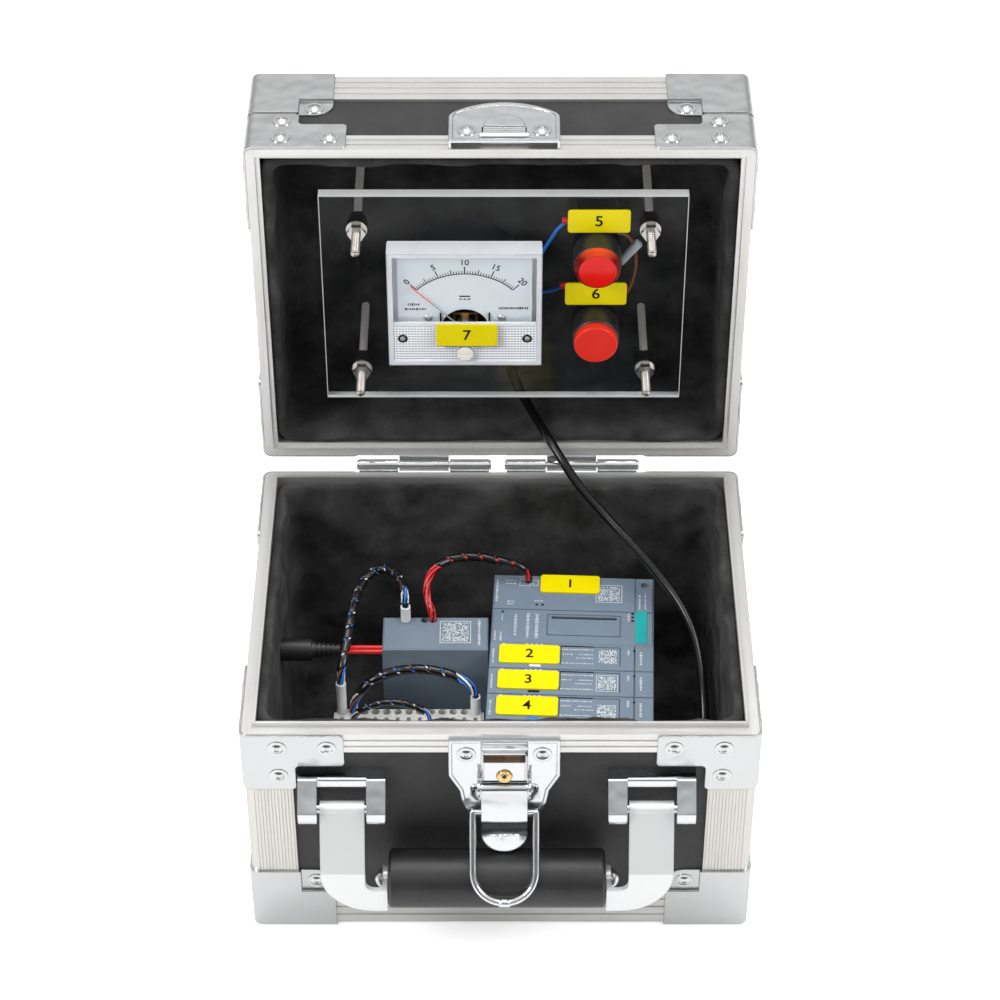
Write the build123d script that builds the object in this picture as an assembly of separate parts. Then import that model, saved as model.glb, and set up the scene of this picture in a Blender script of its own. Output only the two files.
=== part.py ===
from build123d import *
import os
from math import atan2, degrees, hypot, radians, tan

# Communication trainer: two aluminium-edged case halves, a rack of modules in the base
# and a clear instrument panel on threaded rods in the lid. Millimetres.
# The lid is modelled open at ninety degrees, as the case stands when it is used.
# Frame: the case stands on z = 0, +Z up, +X right, latch side towards -Y. The origin is under the
# middle of the open case, which lies a little behind the middle of the base. The sizes below are
# measured from the middle of the base, and every node is moved to the frame when it is written.

# Case
origin_behind = 15.0
case_width = 215.0
case_depth = 168.0
rim_height = 117.0
lid_height = 56.6
parting_gap = 0.4
hinge_offset = 4.2
corner_sheet = 1.0
rail_sheet = 1.4
board = 3.2
inner_flange = 1.2
rim_flange = 10.5
base_web = 1.6
tongue_height = 2.0
tongue_thickness = 1.4
rebate_clearance = 0.5
post_leg = 20.0
bottom_rail_leg = 19.6
top_rail_leg = 17.5
rail_shelf = 15.0
groove_width = 0.9
groove_depth = 0.35
post_rib_pitch = 1.4
post_groove_width = 0.35
post_groove_depth = 0.2
case_corner_radius = 3.0
lining_thickness = 3.5
lining_clearance = 0.2
base_lining_edge = 0.8
lid_lining_edge = -1.2

# Steel corners and rivets
plate_leg = 43.0
plate_arm_depth = 17.6
plate_arm_width = 22.6
base_plate_drop = 31.5
lid_plate_drop = 25.3
plate_rim_setback = 0.3
plate_end_radius = 2.0
cap_leg = 36.5
base_cap_height = 34.0
lid_cap_height = 30.0
cap_tab_radius = 8.0
rivet_radius = 4.0
rivet_brim = 0.35
rivet_dome_radius = 3.1
rivet_height = 1.3
rivet_dimple_radius = 0.9
rivet_dimple_depth = 0.6
rivet_inset = 15.5
rivet_spread = 20.5
rivet_rim_distance = 7.5
base_lower_rivet = 23.5
lid_lower_rivet = 20.0
tab_rivet_inset = 28.5
tab_rivet_rise = 6.6

# Hinges
hinge_x = -1.2
hinge_side_gap = 1.5
hinge_width = 59.0
hinge_middle = 22.5
hinge_gap = 0.5
hinge_pin_radius = 1.5
hinge_bore_clearance = 0.06
knuckle_wall = 1.35
leaf_sheet = 1.2
leaf_length = 18.0
leaf_rivet_drop = 12.0
pin_head_length = 1.0
pin_head_extra = 0.8

# Latch
latch_x = 1.6
latch_width = 46.0
latch_top = 2.4
latch_sheet = 1.2
latch_shoulder_drop = 22.7
latch_length = 45.0
latch_wing_end = 28.0
latch_waist_drop = 9.0
latch_waist_length = 7.0
latch_waist_taper = 1.0
latch_border = 1.3
latch_border_height = 0.5
latch_rivet_spread = 15.7
housing_width = 19.2
housing_depth = 5.5
housing_top = 3.0
housing_length = 18.5
housing_edge = 1.2
window_height = 4.5
window_depth = 3.0
window_side = 1.0
window_drop = 2.2
lock_radius = 3.2
lock_drop = 17.5
lock_clearance = 0.1
lock_seat = 4.0
lock_proud = 0.6
keyway_width = 0.9
keyway_length = 3.8
keyway_depth = 2.6
lever_pivot_drop = 26.5
lever_pivot_out = 4.0
lever_pin_radius = 1.5
lever_roll_wall = 1.35
lever_width = 19.2
lever_sheet = 1.3
lever_tongue_radius = 9.0
lever_belly = [(3.0, 2.5), (3.6, -2.0), (2.2, -7.5), (2.0, -14.0)]
lever_tip_back = 2.8
lever_tip_rise = 13.3
cheek_back = 2.6
cheek_drop = 4.0
cheek_root = 1.0
ear_sheet = 1.0
ear_clearance = 0.5
ear_half_height = 5.8
ear_nose_radius = 3.5
bail_wire = 3.0
bail_pin_radius = 1.1
bail_reach = 40.0
bail_half_width = 13.15
bail_bend = 12.9
bail_drop = 11.0
bail_out = 3.0
bail_bore_clearance = 0.15
bail_grip_clearance = 0.35

# Keeper on the lid
keeper_width = 46.6
keeper_rise = 0.6
keeper_side = 20.0
keeper_length = 29.0
keeper_height = 4.0
keeper_sheet = 1.2
keeper_corner = 5.0
keeper_foot_wall = 3.6
keeper_field_inset = 1.7
keeper_field_depth = 0.3
keeper_disc_radius = 8.7
keeper_window = 18.6
keeper_window_rise = 1.5
keeper_window_length = 9.5
keeper_rivet_rise = 8.2
keeper_rivet_spread = 15.7
hook_radius = 2.2
hook_rise = 4.0
hook_depth = 0.9
hook_side_gap = 0.4
lip_sheet = 1.3
lip_height = 4.6
lip_groove = 0.6
lip_groove_depth = 0.3

# Handle
handle_x = -1.5
bracket_side_gap = 4.1
bracket_width = 36.4
ear_width = 8.0
bracket_top_drop = 21.0
bracket_pivot_drop = 34.6
bracket_pivot_out = 8.0
bracket_ear_radius = 6.6
bracket_nose_rise = 3.0
crossbar_height = 5.2
crossbar_depth = 7.0
bracket_edge = 1.4
bracket_side_edge = 0.5
handle_pin_radius = 2.0
handle_bore_clearance = 0.08
arm_roll_radius = 3.3
arm_clearance = 0.9
arm_sheet = 2.2
arm_end_half = 8.7
arm_bend_drop = 22.5
arm_window_rise = 4.0
arm_boss_radius = 5.6
arm_corner_radius = 22.0
arm_inner_radius = 4.0
arm_root_rise = 1.0
arm_fold_step = 0.6
arm_overreach = 0.2
grip_radius = 12.5
grip_bore_radius = 4.0
grip_drop = 36.7
grip_out = 7.5
grip_edge = 1.2
handle_bolt_radius = 3.8
handle_nut_radius = 4.3
handle_nut_length = 3.6

# Rack in the base
rack_x = 31.3
rack_skew = 2.4
rack_top = 84.0
module_length = 72.0
module_pitch = 16.0
module_gap = 0.4
head_width = 44.4
head_front = 4.9
head_seam = 21.2
divider_inset = 8.6
field_left = -11.5
field_right = 21.5
field_front = 5.2
field_back = 19.0
finger_slot_inset = 2.0
finger_slot_drop = 1.4
finger_slot_width = 1.6
finger_slot_depth = 2.0
recess_inset_x = 4.0
recess_inset_y = 5.0
recess_radius = 1.8
recess_depth = 2.0
lamp_window_x = -6.0
lamp_window_pitch = 2.6
lamp_window_length = 1.2
lamp_window_width = 1.0
lamp_window_inset = 0.9
lamp_window_count = 4
base_unit_height = 29.0
end_module_width = 7.0
end_module_drop = 4.0
din_width = 35.0
din_height = 7.5
din_flange = 4.0
din_sheet = 1.0
rack_rail_length = 110.0
module_chamfer = 0.8
seam_width = 0.6
seam_depth = 0.5
supply_left = -52.0
supply_right = -5.4
supply_front = 0.7
supply_back = 21.5
supply_top = 85.0
supply_hole_inset = 2.3
supply_wire_clearance = 0.1
supply_wire_depth = 2.0
strip_left = -72.2
block_pitch = 4.9
block_count = 13
block_length = 48.0
block_back = -9.6
block_top = 60.0
block_slot = 35.4
end_plate_width = 1.2
end_plate_step = 1.0
block_chamfer = 2.0
block_hook = 1.2
wire_hole_radius = 1.7
wire_hole_depth = 7.0
wire_hole_inset = 3.6
release_slot = 2.4
release_gap = 4.6
release_narrow = 0.7
sleeve_radius = 2.2
sleeve_tail_radius = 1.0
sleeve_tail = 4.0
seat_gap = 0.3

# Power inlet in the left wall
inlet_y = 5.5
inlet_z = 80.0
inlet_radius = 5.0
inlet_flange_radius = 6.8
inlet_flange = 1.4
inlet_hole_clearance = 0.2
inlet_inside_length = 13.8
inlet_bore_radius = 3.2
inlet_bore_depth = 10.0
inlet_pin_radius = 1.05
relief_length = 12.4
relief_big = 3.9
relief_small = 2.6
relief_ribs = 5
relief_groove = 0.9
relief_groove_depth = 0.6
inlet_wire = 2.2
inlet_wire_spacing = 2.6

# Instrument panel in the lid, measured in the panel's own plane
panel_x = 1.3
panel_rise = 92.9
panel_recess = 0.6
panel_width = 156.0
panel_height = 108.0
panel_thickness = 5.0
rod_spacing_x = 125.0
rod_spacing_y = 75.0
rod_radius = 2.0
rod_shank_radius = 1.8
rod_stud_gap = 0.2
rod_hole_radius = 2.15
rod_proud = 18.5
nut_across = 7.0
nut_height = 3.2
nut_clearance = 0.05
washer_radius = 4.5
washer_thickness = 0.8
meter_x = -16.7
meter_y = 1.5
meter_width = 66.0
meter_height = 59.4
meter_depth = 10.6
meter_flange = 1.6
meter_wall = 1.6
meter_edge = 0.7
movement_depth = 6.0
meter_can_radius = 25.5
meter_can_depth = 24.0
meter_hole_clearance = 0.3
dial_width = 58.0
dial_height = 39.0
dial_thickness = 0.5
dial_level = 4.6
dial_top_gap = 1.2
dial_post_radius = 1.6
dial_post_spread = 16.2
dial_post_rise = 2.2
window_radius = 10.5
needle_length = 33.0
needle_pivot_y = -13.1
needle_width = 0.7
needle_thickness = 0.4
needle_gap = 0.9
needle_rest_angle = 45.0
needle_hub_radius = 1.6
needle_hub_depth = 1.0
needle_tail = 4.0
needle_point = 0.24
coil_width = 11.0
coil_height = 9.0
coil_depth = 2.4
coil_wall = 1.2
core_radius = 3.6
core_depth = 3.4
movement_floor = 1.6
movement_gap = 0.4
zero_radius = 3.4
zero_y = -22.9
zero_clearance = 0.15
zero_proud = 0.5
zero_slot = 0.7
stud_radius = 1.5
stud_length = 9.0
stud_spread = 16.0
head_radius = 10.2
lamp_x = 40.0
lamp_y = 25.5
button_y = -13.7
collar_depth = 11.0
lens_depth = 3.6
lens_step = 0.2
lens_face_radius = 8.3
barrel_radius = 8.0
barrel_clearance = 0.15
barrel_length = 12.0
ring_nut_radius = 10.0
ring_nut_height = 2.6
contact_size = 17.0
contact_length = 16.0
cap_radius = 9.4
cap_clearance = 0.2
cap_proud = 3.9
cap_length = 5.5
cap_edge = 0.5
cap_bottom_gap = 0.4
cap_travel = 2.2
cap_stem_radius = 2.5
cap_stem_length = 3.6
spring_radius = 4.2
spring_wire = 0.6
spring_turns = 4
spring_room = 4.5
spring_side_gap = 0.9
spring_end_gap = 0.1
tag_length = 26.6
tag_width = 11.4
tag_thickness = 0.8
tag_radius = 1.4
tag_inset = 4.2
tag_middle_step = 0.4
head_tag_x = -1.7
head_tag_inset = 6.1
lamp_tag_x = 0.6
lamp_tag_rise = 16.3
button_tag_rise = 17.2
meter_tag_x = 0.8
meter_tag_y = -12.4

# Places that follow from the sizes above
half_x = case_width / 2
half_y = case_depth / 2
rail_x = half_x - corner_sheet
rail_y = half_y - corner_sheet
panel_out_x = rail_x - rail_sheet
panel_out_y = rail_y - rail_sheet
panel_in_x = panel_out_x - board
panel_in_y = panel_out_y - board
rim_width = rail_sheet + board + inner_flange
rebate_depth = tongue_height - parting_gap + rebate_clearance
lid_web = rebate_depth + inner_flange
floor_top = corner_sheet + rail_sheet + board
lining_floor = floor_top + lining_thickness
hinge_y = half_y + hinge_offset
front_rail_y = -rail_y
front_panel_y = -panel_out_y
hinge_spacing = 2 * (half_x - plate_leg - hinge_side_gap) - hinge_width
bracket_spacing = 2 * (rail_x - post_leg - bracket_side_gap) - bracket_width
grip_length = bracket_spacing - bracket_width - 2 * (arm_overreach + seat_gap)
lining_inside_x = rail_x - rim_width - lining_clearance - lining_thickness
inlet_inner_end = inlet_inside_length - lining_inside_x
relief_end = inlet_inner_end + relief_length

lid_swing = Pos(0, hinge_y, rim_height) * Rot(-90, 0, 0) * Pos(0, -hinge_y, -rim_height)
base_place = Pos(0, 0, rim_height)
lid_closed = Pos(0, 0, rim_height + parting_gap) * Rot(180, 0, 0)
lid_place = lid_swing * lid_closed
clear_front_y = hinge_y + parting_gap + panel_recess
panel_place = Plane(
    origin=(panel_x, clear_front_y, rim_height + panel_rise), x_dir=(1, 0, 0), z_dir=(0, -1, 0)
).location
lid_inside_y = hinge_y + parting_gap + lid_height - floor_top
rack_place = Pos(rack_x, 0, 0) * Rot(0, 0, -rack_skew)
corner_places = [(1, 1, 0), (-1, 1, 90), (-1, -1, 180), (1, -1, 270)]


# Helpers
def block(x0, x1, y0, y1, z0, z1):
    """A box between two opposite corners."""
    return Pos((x0 + x1) / 2, (y0 + y1) / 2, (z0 + z1) / 2) * Box(x1 - x0, y1 - y0, z1 - z0)


def bar(start, end, radius):
    """A round bar from one point to another."""
    run = Vector(*end) - Vector(*start)
    return extrude(Plane(origin=start, z_dir=run) * Circle(radius), run.length)


def prism(points, way, length):
    """A flat outline, given in space, pushed along one direction."""
    return extrude(make_face(Polyline(*points, close=True)), length, dir=way)


def pieces(shapes):
    """All the separate solids of a list of shapes."""
    return [solid for shape in shapes for solid in shape.solids()]


def save(name, shapes):
    """Write one node: one solid, or a group of separate ones."""
    solids = [Pos(0, -origin_behind, 0) * solid for solid in pieces(shapes)]
    shape = solids[0] if len(solids) == 1 else Compound(children=solids)
    export_step(shape, f"parts/{name}.step")
    print(name, len(solids), "solids", round(sum(solid.volume for solid in solids), 1), "mm3")


def cord_path(points):
    """Straight runs joined by tangent arcs, each as large as its two runs allow."""
    places = [Vector(*point) for point in points]
    radii = []
    for before, corner, after in zip(places, places[1:], places[2:]):
        run_in = corner - before
        run_out = after - corner
        turn = radians(run_in.get_angle(run_out))
        radii.append(0.45 * min(run_in.length, run_out.length) / tan(turn / 2))
    return FilletPolyline(*places, radius=radii), radii


def cord_tube(name, points, diameter):
    """A round tube along a cord's route."""
    path, radii = cord_path(points)
    section = Plane(origin=path @ 0, z_dir=path % 0) * Circle(diameter / 2)
    tube = sweep(section, path=path)
    print(name, "length", round(path.length, 1), "least radius", round(min(radii), 1))
    return tube


def dome(place, radius, height):
    """A low domed head standing on a face."""
    ball = (radius**2 + height**2) / (2 * height)
    slab = Pos(0, 0, height / 2) * Box(4 * radius, 4 * radius, height)
    return place * ((Pos(0, 0, height - ball) * Sphere(ball)) & slab)


def make_rivet_head():
    """A rivet head on z = 0: a thin brim, a dome and a dimple in its top."""
    head = dome(Pos(0, 0, 0), rivet_dome_radius, rivet_height)
    head += Pos(0, 0, rivet_brim / 2) * Cylinder(rivet_radius, rivet_brim)
    return head - Pos(0, 0, rivet_height) * Cylinder(rivet_dimple_radius, 2 * rivet_dimple_depth)


rivet_head = make_rivet_head()


def face_place(x, y, z, facing):
    """A place on a flat face, with local z pointing out of it."""
    return Plane(origin=(x, y, z), z_dir=facing).location


# Case halves, each in its own frame: rim at z = 0, closed end at z = -height
def rail_ring(section):
    """Four mitred rails with one section, given as (inward, up) pairs."""
    reach = rail_shelf + rim_width
    tall = 2 * rim_height
    plan = extrude(RectangleRounded(2 * rail_x, 2 * rail_y, case_corner_radius), tall, both=True)
    rails = []
    for turn in range(4):
        run, offset = (rail_x, rail_y) if turn % 2 == 0 else (rail_y, rail_x)
        rail = prism([(-run, -offset + inward, up) for inward, up in section], (1, 0, 0), 2 * run)
        wedge = [
            (-run, -offset, -tall),
            (run, -offset, -tall),
            (run - reach, -offset + reach, -tall),
            (-run + reach, -offset + reach, -tall),
        ]
        rails.append((Rot(0, 0, 90 * turn) * (rail & prism(wedge, (0, 0, 1), 2 * tall))) & plan)
    return rails


def grooved_edge(bottom, top, count):
    """Points up the outer face of a rail, with shallow grooves at even spacing."""
    points = []
    for number in range(count):
        middle = bottom + (top - bottom) * (number + 1) / (count + 1)
        low = middle - groove_width / 2
        high = middle + groove_width / 2
        points += [(0, low), (groove_depth, low), (groove_depth, high), (0, high)]
    return points


def rim_rails(web, edge_inset, edge_up):
    """U-shaped rim rails. The inner edge stands up as a tongue or drops as a rebate."""
    step = rim_width - edge_inset
    section = [(0, 0), (step, 0), (step, edge_up), (rim_width, edge_up), (rim_width, -rim_flange)]
    section += [(rim_width - inner_flange, -rim_flange), (rim_width - inner_flange, -web)]
    section += [(rail_sheet, -web), (rail_sheet, -rim_flange), (0, -rim_flange)]
    return rail_ring(section + grooved_edge(-rim_flange, 0, 2))


def end_rails(height, leg):
    """L-shaped rails round the closed end of a case half."""
    low = -height + corner_sheet
    section = [(0, low + leg), (rail_sheet, low + leg), (rail_sheet, low + rail_sheet)]
    section += [(rail_shelf, low + rail_sheet), (rail_shelf, low), (0, low)]
    return rail_ring(section + grooved_edge(low, low + leg, 3))


def corner_posts(height, leg):
    """Ribbed angle posts between the rim rails and the end rails."""
    outline = [(0, 0), (-post_leg, 0), (-post_leg, -rail_sheet), (-rail_sheet, -rail_sheet)]
    outline += [(-rail_sheet, -post_leg), (0, -post_leg)]
    face = make_face(Polyline(*outline, close=True))
    corner = [vertex for vertex in face.vertices() if abs(vertex.X) + abs(vertex.Y) < 0.01]
    face = fillet(corner, case_corner_radius)
    count = int((post_leg - case_corner_radius) / post_rib_pitch)
    for number in range(count):
        along = -case_corner_radius - post_rib_pitch * (number + 0.6)
        face -= Pos(along, 0) * Rectangle(post_groove_width, 2 * post_groove_depth)
        face -= Pos(0, along) * Rectangle(2 * post_groove_depth, post_groove_width)
    low = -height + corner_sheet + leg
    post = Pos(0, 0, low) * extrude(face, -rim_flange - low)
    return [Pos(sx * rail_x, sy * rail_y, 0) * Rot(0, 0, turn) * post for sx, sy, turn in corner_places]


def fold(leg, low, high):
    """Sheet folded round a vertical corner, outside the rails' corner at the origin."""
    outer = Pos(corner_sheet - leg / 2, corner_sheet - leg / 2) * Rectangle(leg, leg)
    corner = [vertex for vertex in outer.vertices() if vertex.X > 0 and vertex.Y > 0]
    outer = fillet(corner, case_corner_radius + corner_sheet)
    inner = Pos(-leg / 2, -leg / 2) * Rectangle(leg, leg)
    corner = [vertex for vertex in inner.vertices() if vertex.X > -leg / 2 and vertex.Y > -leg / 2]
    inner = fillet(corner, case_corner_radius)
    return Pos(0, 0, low) * extrude(outer - inner, high - low)


def across(shape):
    """The same shape on the other side of the corner's diagonal."""
    return mirror(shape, about=Plane(origin=(0, 0, 0), z_dir=(1, -1, 0)))


def corner_plates(drop):
    """L-shaped plates over the rim rails and posts, folded round each corner."""
    arm = -plate_arm_width + corner_sheet
    end = -plate_leg + corner_sheet
    points = [(corner_sheet, -plate_rim_setback), (end, -plate_rim_setback), (end, -plate_arm_depth)]
    points += [(arm, -plate_arm_depth), (arm, -drop), (corner_sheet, -drop)]
    outline = make_face(Polyline(*points, close=True))
    free = [vertex for vertex in outline.vertices() if vertex.X < 0]
    outline = fillet(free, plate_end_radius)
    window = Plane(origin=(0, -plate_leg, 0), x_dir=(1, 0, 0), z_dir=(0, -1, 0)) * outline
    window = extrude(window, 2 * plate_leg, dir=(0, 1, 0))
    plate = fold(plate_leg, -drop, -plate_rim_setback) & window & across(window)
    return [Pos(sx * rail_x, sy * rail_y, 0) * Rot(0, 0, turn) * plate for sx, sy, turn in corner_places]


def corner_caps(height, leg, tall):
    """Caps over the corners of the closed end, with a tab stepped down to the panel."""
    low = -height + corner_sheet
    end = -cap_leg + corner_sheet
    top = low + tall - corner_sheet
    step = low + leg
    points = [(corner_sheet, low - corner_sheet), (corner_sheet, top), (-post_leg, top)]
    points += [(-post_leg, step + corner_sheet), (end, step + corner_sheet), (end, low - corner_sheet)]
    window = prism([(x, -cap_leg, z) for x, z in points], (0, 1, 0), 2 * cap_leg)
    cap = fold(cap_leg, low - corner_sheet, top) & window & across(window)
    floor = Pos((corner_sheet + end) / 2, (corner_sheet + end) / 2, low - corner_sheet) * extrude(
        RectangleRounded(cap_leg, cap_leg, case_corner_radius + corner_sheet), corner_sheet
    )
    cap += floor
    sunk = -rail_sheet + corner_sheet
    outline = make_face(Polyline((-post_leg, step), (-post_leg, top), (end, top), (end, step), close=True))
    outer = [vertex for vertex in outline.vertices() if vertex.X < -post_leg - 1 and vertex.Y > step + 1]
    outline = fillet(outer, cap_tab_radius)
    shape = Plane(origin=(0, -rail_sheet, 0), x_dir=(1, 0, 0), z_dir=(0, -1, 0)) * outline
    shape = extrude(shape, rail_sheet + corner_sheet, dir=(0, 1, 0))
    hollow = block(end - 1, -post_leg - corner_sheet, sunk, 2 * corner_sheet, step + corner_sheet, top + 1)
    tab = shape - hollow
    cap += tab
    cap += across(tab)
    return [Pos(sx * rail_x, sy * rail_y, 0) * Rot(0, 0, turn) * cap for sx, sy, turn in corner_places]


def corner_rivets(height, leg, lower):
    """Rivet heads on the corner plates and on the tabs of the caps."""
    outside = (0, 1, 0)
    plate_x = corner_sheet - rivet_inset
    tab_level = corner_sheet - rail_sheet
    tab_z = -height + corner_sheet + leg + tab_rivet_rise
    spots = [
        face_place(plate_x, corner_sheet, -rivet_rim_distance, outside),
        face_place(plate_x - rivet_spread, corner_sheet, -rivet_rim_distance, outside),
        face_place(plate_x, corner_sheet, -lower, outside),
        face_place(corner_sheet - tab_rivet_inset, tab_level, tab_z, outside),
    ]
    heads = [spot * rivet_head for spot in spots]
    heads += [across(head) for head in heads]
    return [
        Pos(sx * rail_x, sy * rail_y, 0) * Rot(0, 0, turn) * head
        for sx, sy, turn in corner_places
        for head in heads
    ]


def wall_panels(height, web):
    """Front, back, left and right boards, standing on the end rails inside the rim rails."""
    low = -height + corner_sheet + rail_sheet
    front = block(-panel_in_x, panel_in_x, -panel_out_y, -panel_in_y, low, -web)
    right = block(panel_in_x, panel_out_x, -panel_out_y, panel_out_y, low, -web)
    return {"front": front, "back": Rot(0, 0, 180) * front, "right": right, "left": Rot(0, 0, 180) * right}


def end_panel(height):
    """The board that closes a case half."""
    low = -height + corner_sheet + rail_sheet
    return block(-panel_in_x, panel_in_x, -panel_in_y, panel_in_y, low, low + board)


def lining(height, edge):
    """Soft foam against the walls and the closed end. Its edge lies above or below the rim."""
    low = -height + floor_top
    shoulder = -rim_flange - lining_clearance
    wide_x = panel_in_x - lining_clearance
    wide_y = panel_in_y - lining_clearance
    narrow_x = rail_x - rim_width - lining_clearance
    narrow_y = rail_y - rim_width - lining_clearance
    inner_x = narrow_x - lining_thickness
    inner_y = narrow_y - lining_thickness
    foam = block(-wide_x, wide_x, -wide_y, wide_y, low, shoulder)
    foam += block(-narrow_x, narrow_x, -narrow_y, narrow_y, low, edge)
    return foam - block(-inner_x, inner_x, -inner_y, inner_y, low + lining_thickness, rim_height)


# Hinges
def hinge_centres():
    return [hinge_x - hinge_spacing / 2, hinge_x + hinge_spacing / 2]


def leaf(sign, spans):
    """One hinge leaf in the closed case: sign -1 hangs on the base, +1 on the lid."""
    bore = hinge_pin_radius + hinge_bore_clearance
    outer = bore + knuckle_wall
    near = outer - leaf_sheet
    low, high = sorted((sign * near, sign * outer))
    end = sign * leaf_length
    shape = block(-hinge_width / 2, hinge_width / 2, rail_y, rail_y + leaf_sheet, *sorted((sign * near, end)))
    for x0, x1 in spans:
        shape += block(x0, x1, rail_y, hinge_y, low, high)
        shape += Pos((x0 + x1) / 2, hinge_y, 0) * Rot(0, 90, 0) * Cylinder(outer, x1 - x0)
    for x0, x1 in spans:
        shape -= Pos((x0 + x1) / 2, hinge_y, 0) * Rot(0, 90, 0) * Cylinder(bore, x1 - x0)
    return shape


def hinge_leaves():
    """Base leaves, lid leaves and pins of the two rear hinges."""
    side = hinge_middle / 2 + hinge_gap
    outer_spans = [(-hinge_width / 2, -side), (side, hinge_width / 2)]
    middle_span = [(-hinge_middle / 2, hinge_middle / 2)]
    on_base = [Pos(x, 0, rim_height) * leaf(-1, outer_spans) for x in hinge_centres()]
    on_lid = [lid_swing * Pos(x, 0, rim_height) * leaf(1, middle_span) for x in hinge_centres()]
    half = hinge_width / 2
    pins = []
    for x in hinge_centres():
        pin = bar((x - half, hinge_y, rim_height), (x + half, hinge_y, rim_height), hinge_pin_radius)
        for end in (-1, 1):
            start = x + end * half
            pin += bar(
                (start, hinge_y, rim_height),
                (start + end * pin_head_length, hinge_y, rim_height),
                hinge_pin_radius + pin_head_extra,
            )
        pins.append(pin)
    return on_base, on_lid, pins


def hinge_rivets(sign):
    """Rivet heads on the leaves, in the closed case."""
    heads = []
    z = rim_height + sign * leaf_rivet_drop
    for x in hinge_centres():
        for offset in (-hinge_width / 3, 0, hinge_width / 3):
            heads.append(face_place(x + offset, rail_y + leaf_sheet, z, (0, 1, 0)) * rivet_head)
    return heads


# Latch on the front of the base
latch_face_y = front_rail_y - latch_sheet
lever_y = latch_face_y - lever_pivot_out
lever_z = rim_height - lever_pivot_drop
bail_y = lever_y - bail_out
bail_z = lever_z - bail_drop
grip_y = front_panel_y - (rail_sheet + bracket_pivot_out + grip_out) + corner_sheet
grip_z = rim_height - bracket_pivot_drop - grip_drop


def latch_outline():
    """The latch plate's outline, as a face in the plane of its front."""
    half = latch_width / 2
    top = rim_height - latch_top
    shoulder = rim_height - latch_shoulder_drop
    wing = latch_wing_end / 2
    waist = (half + wing) / 2
    waist_top = shoulder - latch_waist_drop
    right = [(half, top), (half, shoulder), (waist, waist_top)]
    right += [(waist - latch_waist_taper, waist_top - latch_waist_length), (wing, top - latch_length)]
    left = [(-x, z) for x, z in reversed(right)]
    front = Plane(origin=(latch_x, latch_face_y, 0), x_dir=(1, 0, 0), z_dir=(0, -1, 0))
    return front * make_face(Polyline(*right, *left, close=True))


def lock_housing():
    """Box with softened edges for the lock, with a window at its top."""
    x0 = latch_x - housing_width / 2
    x1 = latch_x + housing_width / 2
    front = latch_face_y - housing_depth
    top = rim_height - housing_top
    house = block(x0, x1, front, latch_face_y, top - housing_length, top)
    house = chamfer(house.faces().sort_by(Axis.Y)[0].edges(), housing_edge)
    window_top = top - window_drop
    return house - block(
        x0 + window_side, x1 - window_side, front - 1, front + window_depth,
        window_top - window_height, window_top,
    )


def latch_plate():
    """Back plate with narrowing wings and a raised border, two ears and the lock housing."""
    outline = latch_outline()
    low = rim_height - latch_top - latch_length
    plate = extrude(outline, -latch_sheet)
    backing = extrude(outline, front_rail_y - latch_sheet - front_panel_y)
    plate += backing & block(-case_width, case_width, -case_depth, 0, low, rim_height - rim_flange)
    border = outline - offset(outline, -latch_border, kind=Kind.INTERSECTION)
    plate += extrude(border, latch_border_height)
    plate += lock_housing()
    lock_z = rim_height - lock_drop
    front = latch_face_y - housing_depth
    bore = lock_radius + lock_clearance
    plate -= bar((latch_x, front - 1, lock_z), (latch_x, front + lock_seat, lock_z), bore)
    inner = lever_width / 2 + ear_clearance
    for side in (-1, 1):
        x0, x1 = sorted((latch_x + side * inner, latch_x + side * (inner + ear_sheet)))
        ear = block(x0, x1, lever_y, latch_face_y, lever_z - ear_half_height, lever_z + ear_half_height)
        ear += bar((x0, lever_y, lever_z), (x1, lever_y, lever_z), ear_nose_radius)
        ear -= bar((x0 - 1, lever_y, lever_z), (x1 + 1, lever_y, lever_z), lever_pin_radius)
        plate += ear
    return plate


def latch_rivets():
    """The two rivet heads of the latch plate."""
    z = rim_height - rim_flange
    return [
        face_place(latch_x + side * latch_rivet_spread, latch_face_y, z, (0, -1, 0)) * rivet_head
        for side in (-1, 1)
    ]


def lock_core():
    """Key lock core, turned by a key in the housing."""
    z = rim_height - lock_drop
    front = latch_face_y - housing_depth - lock_proud
    back = latch_face_y - housing_depth + lock_seat - lock_clearance
    core = bar((latch_x, front, z), (latch_x, back, z), lock_radius)
    return core - block(
        latch_x - keyway_width / 2, latch_x + keyway_width / 2,
        front - 1, front + keyway_depth, z - keyway_length / 2, z + keyway_length / 2,
    )


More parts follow.
